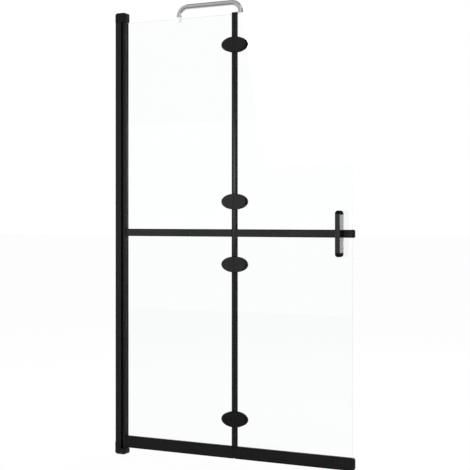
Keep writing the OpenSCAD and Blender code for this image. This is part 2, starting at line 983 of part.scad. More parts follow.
module wall_frame_screws() {
    color(steel_grey) from_foot() {
        for (z = [transom_level, rail_foot + rail_height / 4])
            countersunk_screw(
                pivot_right - pivot_slot / 2, z, pivot_half, pivot_half - 1,
                frame_screw_d, frame_head_d, frame_screw_d / 2
            );
        countersunk_screw(
            wall_seam - edge_width + edge_slot / 2, transom_level, edge_depth / 2, edge_depth / 2 - 1,
            frame_screw_d, frame_head_d, frame_screw_d / 2
        );
    }
}

module outer_frame_screws() {
    color(steel_grey) from_foot()
        at_seam()
            countersunk_screw(
                half_seam + edge_width - edge_slot / 2, transom_level, edge_depth / 2, edge_depth / 2 - 1,
                frame_screw_d, frame_head_d, frame_screw_d / 2
            );
}

// Half of an oval, x > 0, shrunk by an inset all round but at the seam
function half_oval(inset) = [
    for (i = [0 : 40])
        let (turn = -90 + i * 4.5)
        [
            max(half_seam, (oval_width / 2 - inset) * cos(turn)),
            (oval_height / 2 - inset) * sin(turn)
        ]
];

// A half plate lying in X and Z, from the pads out to the plate's face, on the front side
module half_plate() {
    body_depth = plate_reach - slot_face - rim_depth;
    shrink = [1 - 2 * rim_depth / oval_width, 1 - 2 * rim_depth / oval_height];
    difference() {
        translate([0, -slot_face, 0])
            rotate([90, 0, 0]) {
                linear_extrude(body_depth)
                    polygon(half_oval(0));
                translate([0, 0, body_depth])
                    linear_extrude(rim_depth, scale = shrink, slices = 1)
                        polygon(half_oval(0));
            }
        translate([-past, -pocket_half, -oval_height])
            cube([pocket_reach + past, pocket_half, 2 * oval_height]);
        translate([-past, -2 * plate_reach, -oval_height])
            cube([half_seam + past, 2 * plate_reach, 2 * oval_height]);
    }
}

// The two screws of a half plate; the heads are at the back
module glass_screw_pair(gap) {
    for (side = [-1, 1])
        countersunk_screw(
            glass_screw_in, side * glass_screw_step / 2, plate_reach, 2 * plate_reach - 2,
            glass_screw_d, glass_head_d, glass_head_height, gap
        );
}

module front_half_plate() {
    difference() {
        half_plate();
        glass_screw_pair(screw_gap);
    }
}

// Knuckle with the cheek that joins it to its plate, between two heights
module knuckle(foot, head) {
    translate([0, fold_axis_back, foot])
        cylinder(h = head - foot, r = knuckle_r);
    translate([0, fold_axis_back - knuckle_r, foot])
        cube([knuckle_room + 2, knuckle_r, head - foot]);
}

// Back half plate with its knuckles; the bands are pairs of heights that it owns
module back_half_plate(own_bands, other_bands) {
    clear_bands = concat(other_bands, head_bands);
    difference() {
        union() {
            difference() {
                mirror([0, 1, 0])
                    half_plate();
                for (band = clear_bands)
                    translate([-past, pocket_half - past, band[0] - knuckle_gap])
                        cube([knuckle_room + past, plate_reach, band[1] - band[0] + 2 * knuckle_gap]);
            }
            for (band = own_bands)
                knuckle(band[0], band[1]);
        }
        translate([0, fold_axis_back, -knuckle_stack])
            cylinder(h = 2 * knuckle_stack, d = hinge_pin_d + 2 * screw_gap);
        glass_screw_pair(screw_gap);
    }
}

stack_half = knuckle_stack / 2;
outer_bands = [[-middle_knuckle / 2, middle_knuckle / 2]];
wall_bands = [[-stack_half, -stack_half + outer_knuckle], [stack_half - outer_knuckle, stack_half]];

head_bands = [[-stack_half - pin_head, -stack_half], [stack_half, stack_half + pin_head]];

// Rubber pad between a plate and the glass, with a collar in each glass hole
module glass_pad() {
    rotate([90, 0, 0])
        difference() {
            union() {
                translate([0, 0, glass_face])
                    linear_extrude(gasket_thickness)
                        intersection() {
                            polygon(half_oval(pad_inset));
                            translate([pocket_reach, -oval_height])
                                square([oval_width, 2 * oval_height]);
                        }
                for (side = [-1, 1])
                    translate([glass_screw_in, side * glass_screw_step / 2, 0.1])
                        cylinder(h = glass_face, d = glass_hole_d - 0.1);
            }
            for (side = [-1, 1])
                translate([glass_screw_in, side * glass_screw_step / 2, -past])
                    cylinder(h = slot_width, d = glass_screw_d + 2 * screw_gap);
        }
}

module at_each_hinge() {
    for (z = hinge_heights)
        translate([fold_line, 0, z])
            children();
}

module wall_hinge_front_plates() {
    color(satin_black) from_foot()
        at_each_hinge()
            mirror([1, 0, 0])
                front_half_plate();
}

module wall_hinge_back_plates() {
    color(satin_black) from_foot()
        at_each_hinge()
            mirror([1, 0, 0])
                back_half_plate(wall_bands, outer_bands);
}

module wall_hinge_pads() {
    color(seal_black) from_foot()
        at_each_hinge()
            mirror([1, 0, 0]) {
                glass_pad();
                mirror([0, 1, 0])
                    glass_pad();
            }
}

module wall_hinge_screws() {
    color(steel_grey) from_foot()
        at_each_hinge()
            mirror([1, 0, 0])
                glass_screw_pair(0);
}

module outer_hinge_front_plates() {
    color(satin_black) from_foot()
        at_each_hinge()
            front_half_plate();
}

module outer_hinge_back_plates() {
    color(satin_black) from_foot()
        at_each_hinge()
            back_half_plate(outer_bands, wall_bands);
}

module outer_hinge_pads() {
    color(seal_black) from_foot()
        at_each_hinge() {
            glass_pad();
            mirror([0, 1, 0])
                glass_pad();
        }
}

module outer_hinge_screws() {
    color(steel_grey) from_foot()
        at_each_hinge()
            glass_screw_pair(0);
}

module hinge_pins() {
    color(steel_grey) from_foot()
        at_each_hinge()
            translate([0, fold_axis_back, 0]) {
                translate([0, 0, -stack_half - pin_head])
                    cylinder(h = knuckle_stack + 2 * pin_head, d = hinge_pin_d);
                for (z = [-stack_half - pin_head, stack_half])
                    translate([0, 0, z])
                        cylinder(h = pin_head, r = knuckle_r - 0.6);
            }
}

// Outer end cap of the transom, with two tongues in the glazing slots
module transom_end_cap() {
    end_round = 4;
    color(satin_black) from_foot()
        at_seam()
            translate([outer_reach - transom_cap, 0, 0]) {
                intersection() {
                    translate([-transom_cap, transom_depth / 2, transom_foot])
                        rotate([90, 0, 0])
                            linear_extrude(transom_depth)
                                rounded_rect(2 * transom_cap, transom_height, end_round);
                    translate([-transom_cap, -transom_depth / 2, transom_foot])
                        linear_extrude(transom_height)
                            rounded_rect(2 * transom_cap, transom_depth, 2);
                    level_bar(0, transom_cap, transom_depth, transom_foot, transom_top);
                }
                for (z = [transom_foot + 1.5, transom_top - transom_slot + slip])
                    translate([-1.6, -slot_face + slip, z])
                        cube([1.61, slot_width - 2 * slip, transom_slot - 1.5 - slip]);
            }
}

// Outer end cap of the rail, slotted for the corner of the pane
module rail_end_cap() {
    color(satin_black) from_foot()
        at_seam()
            translate([outer_reach - rail_cap, 0, 0])
                difference() {
                    union() {
                        intersection() {
                            translate([-rail_cap, rail_depth / 2, rail_foot - lip_drop])
                                rotate([90, 0, 0])
                                    linear_extrude(rail_depth)
                                        rounded_rect(2 * rail_cap, rail_height + lip_drop, rail_corner);
                            translate([-rail_cap, -rail_depth / 2, rail_foot - lip_drop])
                                linear_extrude(rail_height + lip_drop)
                                    rounded_rect(2 * rail_cap, rail_depth, 3);
                            level_bar(0, rail_cap, rail_depth, rail_foot - lip_drop, rail_top);
                        }
                        translate([
                            -8,
                            -rail_depth / 2 + rail_wall + slip,
                            rail_foot + 6.5 + rail_wall + slip
                        ])
                            cube([
                                8.01,
                                rail_depth - 2 * rail_wall - 2 * slip,
                                rail_height - rail_slot - 6.5 - 2 * rail_wall - 2 * slip
                            ]);
                    }
                    translate([-past, -glass_face - slip, lower_glass_foot - slip])
                        cube([past + rail_cap - 7 + slip, glass_thickness + 2 * slip, rail_height]);
                }
}

// Screws that pass the transom from behind and hold the handle
module handle_screw_row(gap) {
    for (side = [-1, 1])
        countersunk_screw(
            handle_x + side * handle_screw_step / 2, transom_level, transom_depth / 2,
            transom_depth + handle_depth / 2, handle_screw_d, 1.7 * handle_screw_d,
            handle_screw_d / 2, gap
        );
}

module handle_screws() {
    color(steel_grey) from_foot()
        at_seam()
            handle_screw_row(0);
}

module handle_bar() {
    foot = transom_level - handle_height / 2 + handle_end;
    head = transom_level + handle_height / 2 - handle_end;
    color(satin_black) from_foot()
        at_seam()
            difference() {
                translate([handle_x - handle_width / 2, -handle_back - handle_depth, foot])
                    linear_extrude(head - foot)
                        rounded_rect(handle_width, handle_depth, handle_edge);
                for (z = [foot - past, head - handle_spigot - 0.5])
                    translate([
                        handle_x - handle_width / 2 + handle_skin,
                        -handle_back - handle_depth + handle_skin,
                        z
                    ])
                        cube([
                            handle_width - 2 * handle_skin,
                            handle_depth - 2 * handle_skin,
                            handle_spigot + 0.5 + past
                        ]);
                handle_screw_row(screw_gap);
            }
}

// One domed end with the spigot that plugs into the bar; its seat is at height 0
module handle_dome_end() {
    translate([-handle_width / 2, 0, 0])
        intersection() {
            linear_extrude(handle_end)
                rounded_rect(handle_width, handle_depth, handle_edge);
            translate([0, handle_depth, -handle_end])
                rotate([90, 0, 0])
                    linear_extrude(handle_depth)
                        rounded_rect(handle_width, 2 * handle_end, handle_dome);
            translate([0, 0, -handle_end])
                rotate([90, 0, 90])
                    linear_extrude(handle_width)
                        rounded_rect(handle_depth, 2 * handle_end, handle_dome);
        }
    translate([-handle_width / 2 + handle_skin + slip, handle_skin + slip, -handle_spigot])
        cube([
            handle_width - 2 * handle_skin - 2 * slip,
            handle_depth - 2 * handle_skin - 2 * slip,
            handle_spigot + 0.01
        ]);
}

module handle_end_caps() {
    rise = handle_height / 2 - handle_end;
    color(satin_black) from_foot()
        at_seam()
            for (side = [0, 1])
                translate([handle_x, -handle_back - handle_depth, transom_level])
                    mirror([0, 0, side])
                        translate([0, 0, rise])
                            handle_dome_end();
}

// Path of the bow as a round bar of any diameter: two feet, two bends and the bar between
module bow_solid(d) {
    for (x = [bow_left, bow_right])
        translate([x, 0, bow_foot])
            cylinder(h = bow_level - bow_bend - bow_foot, d = d);
    translate([bow_left + bow_bend, 0, bow_level])
        rotate([0, 90, 0])
            cylinder(h = bow_span - 2 * bow_bend, d = d);
    for (end = [[bow_left + bow_bend, 90], [bow_right - bow_bend, 0]])
        translate([end[0], 0, bow_level - bow_bend])
            rotate([90, 0, 0])
                rotate([0, 0, end[1]])
                    rotate_extrude(angle = 90)
                        translate([bow_bend, 0])
                            circle(d = d);
}

module top_bow() {
    color(chrome_grey) from_foot()
        at_seam()
            difference() {
                bow_solid(bow_d);
                bow_solid(bow_d - 2 * bow_wall);
            }
}

// Two small screws through the foot plate into the wall leaf's edge profile, with x towards that leaf
module bow_plate_screw_row(gap) {
    for (side = [-1, 1])
        translate([half_seam + edge_width / 2, side * (slot_face + edge_depth / 2) / 2, edge_top - 7])
            cylinder(h = 7 + foot_plate, d = 1.6 + 2 * gap);
}

module bow_foot_plate() {
    reach_left = half_seam + edge_width - 0.4;
    reach_right = bow_overhang + bow_d / 2;
    color(chrome_grey) from_foot()
        at_seam()
            difference() {
                union() {
                    translate([-reach_left, -bow_d / 2 + 1.5, edge_top])
                        linear_extrude(foot_plate)
                            rounded_rect(reach_left + reach_right - 1.5, bow_d - 3, 2);
                    translate([bow_right, 0, edge_top])
                        cylinder(h = foot_plate, d = bow_d);
                    translate([bow_right, 0, bow_foot - 0.01])
                        cylinder(h = bow_spigot, d = bow_d - 2 * bow_wall - 2 * slip);
                }
                mirror([1, 0, 0])
                    bow_plate_screw_row(screw_gap);
            }
}

module bow_screws() {
    color(steel_grey) from_foot()
        at_seam()
            mirror([1, 0, 0])
                union() {
                    bow_plate_screw_row(0);
                    for (side = [-1, 1])
                        translate([
                            half_seam + edge_width / 2, side * (slot_face + edge_depth / 2) / 2,
                            edge_top + foot_plate
                        ])
                            cylinder(h = 1, d1 = 3, d2 = 2);
                }
}

// Clear saddle on the glass edge, with a spigot up into the bow's other foot
module bow_glass_shoe() {
    shoe_half = slot_face + shoe_wall;
    color(clear_glass) from_foot()
        at_seam()
            translate([bow_left, 0, 0]) {
                difference() {
                    translate([-bow_d / 2, -shoe_half, glass_top - shoe_bite])
                        linear_extrude(bow_foot - glass_top + shoe_bite)
                            rounded_rect(bow_d, 2 * shoe_half, 2);
                    translate([-bow_d, -glass_face - slip, glass_top - shoe_bite - past])
                        cube([2 * bow_d, glass_thickness + 2 * slip, shoe_bite + past]);
                }
                translate([0, 0, bow_foot - 0.01])
                    cylinder(h = bow_spigot, d = bow_d - 2 * bow_wall - 2 * slip);
            }
}

wall_channel();
adjusting_profile();
channel_seal();
clamp_screws();
clamp_screw_covers();
top_bearing_cap();
bottom_bearing_cap();
pivot_bushes();
pivot_profile();
pivot_end_plugs();
pivot_pins();
pivot_lip_seal();
wall_upper_glass();
wall_lower_glass();
wall_transom();
wall_bottom_rail();
wall_edge_profile();
wall_glazing_gaskets();
wall_rail_seal();
wall_rail_inner_cap();
wall_frame_screws();
wall_hinge_front_plates();
wall_hinge_back_plates();
wall_hinge_pads();
wall_hinge_screws();
hinge_pins();
top_bow();
bow_foot_plate();
bow_glass_shoe();
bow_screws();
outer_upper_glass();
outer_lower_glass();
outer_transom();
outer_bottom_rail();
outer_edge_profile();
outer_glazing_gaskets();
outer_rail_seal();
outer_rail_inner_cap();
outer_frame_screws();
outer_hinge_front_plates();
outer_hinge_back_plates();
outer_hinge_pads();
outer_hinge_screws();
outer_edge_cap();
fold_seal();
transom_end_cap();
rail_end_cap();
handle_bar();
handle_end_caps();
handle_screws();
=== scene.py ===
# Folding bath screen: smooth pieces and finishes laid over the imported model.
import json
from math import pi, radians

import bmesh
import bpy
import numpy as np
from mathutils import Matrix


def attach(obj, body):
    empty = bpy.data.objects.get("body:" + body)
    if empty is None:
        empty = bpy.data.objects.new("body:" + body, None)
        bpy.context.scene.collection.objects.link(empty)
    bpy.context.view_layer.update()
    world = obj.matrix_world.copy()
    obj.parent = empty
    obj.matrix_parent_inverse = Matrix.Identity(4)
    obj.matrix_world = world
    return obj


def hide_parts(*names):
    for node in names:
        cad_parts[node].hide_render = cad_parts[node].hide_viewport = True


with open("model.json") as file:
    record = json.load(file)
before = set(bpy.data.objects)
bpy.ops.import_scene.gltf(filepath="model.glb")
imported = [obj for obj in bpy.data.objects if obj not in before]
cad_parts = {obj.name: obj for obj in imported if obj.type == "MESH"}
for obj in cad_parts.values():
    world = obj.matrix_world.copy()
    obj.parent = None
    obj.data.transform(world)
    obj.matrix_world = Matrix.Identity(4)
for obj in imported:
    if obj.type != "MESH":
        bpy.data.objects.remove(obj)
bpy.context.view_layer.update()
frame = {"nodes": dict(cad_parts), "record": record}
cadNodes = frame["nodes"]
mm = 0.001
foldLine = 418.5      # seam between the leaves, counted from the wall
midHeight = 700.0     # heights below are counted from the foot, the origin is half-way up
hingeLevels = np.array([140.4, 608.7, 798.7, 1274.0])
print("frame loaded:", len(cadNodes), "nodes")


# Node helpers

def addMath(tree, operation, a, b):
    node = tree.nodes.new("ShaderNodeMath")
    node.operation = operation
    for slot, value in enumerate((a, b)):
        if isinstance(value, (int, float)):
            node.inputs[slot].default_value = value
        else:
            tree.links.new(value, node.inputs[slot])
    return node.outputs[0]


def addNoise(tree, vector, scale, detail=3.0, rough=0.5):
    node = tree.nodes.new("ShaderNodeTexNoise")
    node.inputs["Detail"].default_value = detail
    node.inputs["Roughness"].default_value = rough
    tree.links.new(vector, node.inputs["Vector"])
    if isinstance(scale, (int, float)):
        node.inputs["Scale"].default_value = scale
    else:
        tree.links.new(scale, node.inputs["Scale"])
    return node.outputs["Fac"]


def addRange(tree, value, low, high, newLow, newHigh):
    node = tree.nodes.new("ShaderNodeMapRange")
    node.inputs["From Min"].default_value = low
    node.inputs["From Max"].default_value = high
    node.inputs["To Min"].default_value = newLow
    node.inputs["To Max"].default_value = newHigh
    tree.links.new(value, node.inputs["Value"])
    return node.outputs["Result"]


# Camera, lamps and floor

cameraSetup = {
    "place": (1.9265, -3.0468, 0.0488),
    "turn": 26.35,           # degrees from straight on
    "lens": 86.05,
    "sensor": 36,
    "shiftRight": 0.001,
    "shiftUp": -0.0359,
    "farClip": 60,
}


def makeCamera(setup):
    data = bpy.data.cameras.new("viewCamera")
    data.lens = setup["lens"]
    data.sensor_width = setup["sensor"]
    data.shift_x = setup["shiftRight"]
    data.shift_y = setup["shiftUp"]
    data.clip_end = setup["farClip"]
    camera = bpy.data.objects.new("viewCamera", data)
    camera.location = setup["place"]
    camera.rotation_euler = (radians(90), 0, radians(setup["turn"]))
    bpy.context.scene.collection.objects.link(camera)
    bpy.context.scene.camera = camera


studioSetup = {
    "worldFill": 0.78,       # what matt surfaces get from all round
    "floorTone": 0.9,
    "floorLift": 0.94,       # share of plain white that the camera sees in the floor
    "floorLevel": -0.7012,
    "floorReach": 40,
    "lamps": [
        # name, place, aim, width, height, power, seen in reflections, seen through the glass
        ("keyPanel", (-1.3, -2.6, 2.0), (0.4, 0.0, 0.1), 2.2, 1.6, 26, False, True),
        ("topPanel", (0.5, 0.3, 2.9), (0.4, 0.0, -0.1), 2.4, 2.4, 26, False, True),
        ("backPanel", (0.3, 2.8, 1.2), (0.4, 0.0, 0.0), 2.4, 1.8, 18, False, True),
        ("handleStrip", (1.30, 1.35, 0.0), (0.77, 0.0, 0.0), 0.20, 1.1, 1.05, True, True),
        ("postStrip", (0.97, 1.35, 0.27), (0.3, 0.0, 0.2), 0.40, 0.54, 4.6, True, False),
    ],
    "flags": [
        # grey boards that only reflections see: name, two opposite corners, tone
        ("floorFlag", (-3.0, -5.0, -0.699), (2.4, -0.06, -0.699), 0.42),
        ("ceilingFlag", (-0.7, -0.9, 2.2), (1.5, 0.7, 2.2), 0.34),
        ("frontFlag", (-4.5, -4.2, 0.75), (1.5, -4.2, 3.5), 0.62),
        ("sideFlag", (2.2, -0.7, 0.86), (2.2, 2.4, 1.9), 0.3),
    ],
}


# The light path's camera, glossy and transmission rays, as a socket that is 1 for any of them
def seenDirectly(tree):
    path = tree.nodes.new("ShaderNodeLightPath")
    seen = addMath(tree, "MAXIMUM", path.outputs["Is Camera Ray"], path.outputs["Is Glossy Ray"])
    return addMath(tree, "MAXIMUM", seen, path.outputs["Is Transmission Ray"])


def addLamp(name, place, aim, width, height, power, reflected, throughGlass):
    data = bpy.data.lights.new(name, "AREA")
    data.shape = "RECTANGLE"
    data.size, data.size_y, data.energy = width, height, power
    lamp = bpy.data.objects.new(name, data)
    way = np.array(aim) - np.array(place)
    lamp.location = place
    flat = np.hypot(way[0], way[1])
    lamp.rotation_euler = (np.arctan2(flat, -way[2]), 0, np.arctan2(way[1], way[0]) - pi / 2)
    lamp.visible_camera = False
    lamp.visible_glossy, lamp.visible_transmission = reflected, throughGlass
    bpy.context.scene.collection.objects.link(lamp)


# A rectangle between two opposite corners that agree in one coordinate
def addSheet(name, low, high, mat):
    (x0, y0, z0), (x1, y1, z1) = low, high
    corners = [low, (x1, y1 if x0 == x1 else y0, z0), high, (x0, y1 if z0 == z1 else y0, z1)]
    mesh = bpy.data.meshes.new(name)
    mesh.from_pydata(corners, [], [(0, 1, 2, 3)])
    mesh.materials.append(mat)
    sheet = bpy.data.objects.new(name, mesh)
    bpy.context.scene.collection.objects.link(sheet)
    return sheet


# A background or an emission of one grey tone
def addGlow(tree, kind, tone, strength):
    node = tree.nodes.new(kind)
    node.inputs["Color"].default_value = (tone, tone, tone, 1)
    node.inputs["Strength"].default_value = strength
    return node.outputs[0]


def mixShaders(tree, share, first, second):
    node = tree.nodes.new("ShaderNodeMixShader")
    for slot, socket in enumerate((share, first, second)):
        tree.links.new(socket, node.inputs[slot])
    return node.outputs[0]


def makeWorld(setup):
    world = bpy.data.worlds.new("studioWorld")
    world.use_nodes = True
    bpy.context.scene.world = world
    tree = world.node_tree
    tree.nodes.clear()
    fill = addGlow(tree, "ShaderNodeBackground", 1.0, setup["worldFill"])
    white = addGlow(tree, "ShaderNodeBackground", 1.0, 1.0)
    out = tree.nodes.new("ShaderNodeOutputWorld")
    tree.links.new(mixShaders(tree, seenDirectly(tree), fill, white), out.inputs["Surface"])


# A new material with an empty tree, and the socket that its surface goes to
def bareMaterial(name):
    mat = bpy.data.materials.new(name)
    mat.use_nodes = True
    tree = mat.node_tree
    tree.nodes.clear()
    return mat, tree, tree.nodes.new("ShaderNodeOutputMaterial").inputs["Surface"]


# Pale paper: matt, with a share of plain white where it is seen directly
def makeFloorPaper(setup):
    mat, tree, surface = bareMaterial("floorPaper")
    matt = tree.nodes.new("ShaderNodeBsdfDiffuse")
    matt.inputs["Color"].default_value = (setup["floorTone"],) * 3 + (1,)
    white = addGlow(tree, "ShaderNodeEmission", 1.0, 1.0)
    share = addMath(tree, "MULTIPLY", seenDirectly(tree), setup["floorLift"])
    tree.links.new(mixShaders(tree, share, matt.outputs[0], white), surface)
    return mat


def makeFlagCloth(name, tone):
    mat, tree, surface = bareMaterial(name)
    tree.links.new(addGlow(tree, "ShaderNodeEmission", tone, 1.0), surface)
    return mat


def makeStudio(setup):
    bpy.context.scene.view_settings.view_transform = "Standard"
    makeWorld(setup)
    for lamp in setup["lamps"]:
        addLamp(*lamp)
    reach, level = setup["floorReach"], setup["floorLevel"]
    addSheet("studioFloor", (-reach, -reach, level), (reach, reach, level), makeFloorPaper(setup))
    for name, low, high, tone in setup["flags"]:
        flag = addSheet(name, low, high, makeFlagCloth(name + "Cloth", tone))
        flag.visible_camera = flag.visible_diffuse = flag.visible_transmission = False
        flag.visible_shadow = flag.visible_volume_scatter = False


makeCamera(cameraSetup)
makeStudio(studioSetup)
print("camera, lamps and floor placed")


# Node groups shared by the finishes

maskLook = {
    # scales of the noise, and the low and high values between which each mask grows
    "patchScale": 9.0,
    "ringInside": (0.10, 0.20), "ringOutside": (0.20, 0.27),
    "ringScale": 14.0, "ringPatches": (0.48, 0.68),
    "dustSlope": (0.55, 0.98), "dustScale": 260.0, "dustSpecks": (0.35, 0.75),
    "bandScale": 120.0, "bandBreaks": (0.3, 0.7), "bandLeast": 0.85,
}


# A new group with its input and output nodes, and the object coordinates that all of them start from
def newGroup(name, inputs, outputs):
    group = bpy.data.node_groups.new(name, "ShaderNodeTree")
    for label, value in inputs:
        socket = group.interface.new_socket(name=label, in_out="INPUT", socket_type="NodeSocketFloat")
        socket.default_value = value
    for label in outputs:
        group.interface.new_socket(name=label, in_out="OUTPUT", socket_type="NodeSocketFloat")
    where = group.nodes.new("ShaderNodeTexCoord").outputs["Object"]
    return group, group.nodes.new("NodeGroupInput"), group.nodes.new("NodeGroupOutput"), where


def giveMask(group, gin, gout, mask):
    group.links.new(addMath(group, "MULTIPLY", mask, gin.outputs["Amount"]), gout.inputs["Mask"])


# Orange peel of a sprayed or moulded skin, and broad uneven patches
def makeCoatGrain():
    group, gin, gout, where = newGroup("coatGrain", [("Scale", 700.0)], ["Height", "Patch"])
    fine = addNoise(group, where, gin.outputs["Scale"], detail=4.0, rough=0.55)
    group.links.new(fine, gout.inputs["Height"])
    broad = addNoise(group, where, maskLook["patchScale"], rough=0.6)
    group.links.new(broad, gout.inputs["Patch"])
    return group


# Faint rings that dried drops leave, in patches
def makeDropMarks():
    group, gin, gout, where = newGroup("dropMarks", [("Scale", 85.0), ("Amount", 0.5)], ["Mask"])
    cells = group.nodes.new("ShaderNodeTexVoronoi")
    group.links.new(where, cells.inputs["Vector"])
    group.links.new(gin.outputs["Scale"], cells.inputs["Scale"])
    inner = addRange(group, cells.outputs["Distance"], *maskLook["ringInside"], 0.0, 1.0)
    outer = addRange(group, cells.outputs["Distance"], *maskLook["ringOutside"], 1.0, 0.0)
    ring = addMath(group, "MULTIPLY", inner, outer)
    patches = addNoise(group, where, maskLook["ringScale"], detail=2.0)
    spread = addRange(group, patches, *maskLook["ringPatches"], 0.0, 1.0)
    giveMask(group, gin, gout, addMath(group, "MULTIPLY", ring, spread))
    return group


# Thin dust on faces that look up
def makeRestDust():
    group, gin, gout, where = newGroup("restDust", [("Amount", 0.3)], ["Mask"])
    split = group.nodes.new("ShaderNodeSeparateXYZ")
    group.links.new(group.nodes.new("ShaderNodeNewGeometry").outputs["Normal"], split.inputs[0])
    upward = addRange(group, split.outputs["Z"], *maskLook["dustSlope"], 0.0, 1.0)
    grains = addNoise(group, where, maskLook["dustScale"], detail=5.0, rough=0.7)
    specks = addRange(group, grains, *maskLook["dustSpecks"], 0.0, 1.0)
    giveMask(group, gin, gout, addMath(group, "MULTIPLY", upward, specks))
    return group


# Fine lines left along a drawn or polished bar, stretched along X
def makeDrawnLines():
    group, gin, gout, where = newGroup("drawnLines", [("Along", 3.0), ("Across", 900.0)], ["Lines"])
    split = group.nodes.new("ShaderNodeSeparateXYZ")
    join = group.nodes.new("ShaderNodeCombineXYZ")
    group.links.new(where, split.inputs[0])
    for axis, socket in (("X", "Along"), ("Y", "Across"), ("Z", "Across")):
        scaled = addMath(group, "MULTIPLY", split.outputs[axis], gin.outputs[socket])
        group.links.new(scaled, join.inputs[axis])
    lines = addNoise(group, join.outputs[0], scale=1.0, detail=2.0)
    group.links.new(lines, gout.inputs["Lines"])
    return group


# Painted shade along a piece's edges and between parts, kept in its rim attribute and broken up a little
def makePaintedEdgeShade():
    group, gin, gout, where = newGroup("paintedEdgeShade", [("Amount", 1.0)], ["Mask"])
    rim = group.nodes.new("ShaderNodeAttribute")
    rim.attribute_name = "rim"
    patches = addNoise(group, where, maskLook["bandScale"], rough=0.6)
    breaks = addRange(group, patches, *maskLook["bandBreaks"], maskLook["bandLeast"], 1.0)
    giveMask(group, gin, gout, addMath(group, "MULTIPLY", rim.outputs["Fac"], breaks))
    return group


# Painted highlight: a lighter stretch that stands in for light caught round one height and one distance
# from the wall:
# e to the power of minus ((z - centre) / spread) squared, minus ((x - across) / reach) squared
def makePaintedLevelSheen():
    group, gin, gout, where = newGroup(
        "paintedLevelSheen", [("Centre", 0.0), ("Spread", 0.5), ("Across", 0.0), ("Reach", 10.0)], ["Mask"])
    split = group.nodes.new("ShaderNodeSeparateXYZ")
    group.links.new(where, split.inputs[0])
    squares = []
    for axis, centre, spread in (("Z", "Centre", "Spread"), ("X", "Across", "Reach")):
        away = addMath(group, "SUBTRACT", split.outputs[axis], gin.outputs[centre])
        away = addMath(group, "DIVIDE", away, gin.outputs[spread])
        squares.append(addMath(group, "MULTIPLY", away, away))
    falling = addMath(group, "MULTIPLY", addMath(group, "ADD", *squares), -1.0)
    group.links.new(addMath(group, "EXPONENT", falling, 0.0), gout.inputs["Mask"])
    return group


coatGrain = makeCoatGrain()
dropMarks = makeDropMarks()
restDust = makeRestDust()
drawnLines = makeDrawnLines()
paintedEdgeShade = makePaintedEdgeShade()
paintedLevelSheen = makePaintedLevelSheen()
print("shared node groups built")


# Finishes

noiseSpan = (0.3, 0.7)                    # where the values of a noise texture mostly lie
coolTint = np.array([1.0, 1.0, 1.03])     # the blacks lean a little to blue


def useGroup(tree, group, **values):
    node = tree.nodes.new("ShaderNodeGroup")
    node.node_tree = group
    for label, value in values.items():
        node.inputs[label].default_value = value
    return node


# Sockets 6 and 7 of the Mix node are its two colours, and output 2 is the mixed one
def mixTones(tree, factor, first, second):
    node = tree.nodes.new("ShaderNodeMix")
    node.data_type = "RGBA"
    tree.links.new(factor, node.inputs[0])
    for slot, tone in ((6, first), (7, second)):
        if isinstance(tone, tuple):
            node.inputs[slot].default_value = tone + (1,)
        else:
            tree.links.new(tone, node.inputs[slot])
    return node.outputs[2]


def startFinish(name, settings):
    mat = bpy.data.materials.new(name)
    mat.use_nodes = True
    tree = mat.node_tree
    shader = tree.nodes["Principled BSDF"]
    for label, value in settings.items():
        shader.inputs[label].default_value = value
    return mat, tree, shader


def addBump(tree, shader, height, strength, distance):
    bump = tree.nodes.new("ShaderNodeBump")
    bump.inputs["Strength"].default_value = strength
    bump.inputs["Distance"].default_value = distance
    tree.links.new(height, bump.inputs["Height"])
    tree.links.new(bump.outputs["Normal"], shader.inputs["Normal"])


# Skin with orange peel, uneven tone, painted shade along the edges, a painted highlight round one
# height, dried drops and a little dust on top
def sprayedFinish(name, look):
    mat, tree, shader = startFinish(name, {
        "Metallic": 0.0, "IOR": look["ior"], "Specular IOR Level": look["specular"],
    })
    grain = useGroup(tree, coatGrain, Scale=look["grain"])
    marks = useGroup(tree, dropMarks, Amount=look["marks"]).outputs["Mask"]
    dust = useGroup(tree, restDust, Amount=look["dust"]).outputs["Mask"]
    band = useGroup(tree, paintedEdgeShade, Amount=look["edge"]).outputs["Mask"]
    # Painted highlight: the tone is lifted by the sheen gain round one height and place
    paintedSheen = useGroup(tree, paintedLevelSheen, Centre=look["paintedSheenAt"], Spread=look["paintedSheenSpread"],
                     Across=look["paintedSheenAcross"], Reach=look["paintedSheenReach"]).outputs["Mask"]
    patch = grain.outputs["Patch"]
    # The painted edge shade gives way where the painted highlight lies
    fading = addMath(tree, "SUBTRACT", 1.0, addMath(tree, "MULTIPLY", paintedSheen, look["bandFade"]))
    paintedShadeBand = addMath(tree, "MULTIPLY", band, fading)
    low = look["tone"] * (1 - look["spread"]) * coolTint
    high = look["tone"] * (1 + look["spread"]) * coolTint
    tone = mixTones(tree, patch, tuple(low), tuple(high))
    highlightTone = mixTones(tree, patch, tuple(low * look["paintedSheen"]), tuple(high * look["paintedSheen"]))
    tone = mixTones(tree, paintedSheen, tone, highlightTone)
    # Painted edge shade, then real drop marks and dust, laid over the tone
    for mask, over in ((paintedShadeBand, "edgeShadeTone"), (marks, "markTone"), (dust, "dustTone")):
        tone = mixTones(tree, mask, tone, look[over])
    tree.links.new(tone, shader.inputs["Base Color"])
    rough = addRange(tree, patch, *noiseSpan, look["roughLow"], look["roughHigh"])
    for mask, more in ((marks, "markRough"), (dust, "dustRough"), (paintedShadeBand, "edgeRough")):
        rough = addMath(tree, "ADD", rough, addMath(tree, "MULTIPLY", mask, look[more]))
    tree.links.new(rough, shader.inputs["Roughness"])
    addBump(tree, shader, grain.outputs["Height"], look["bump"], look["bumpDepth"])
    return mat


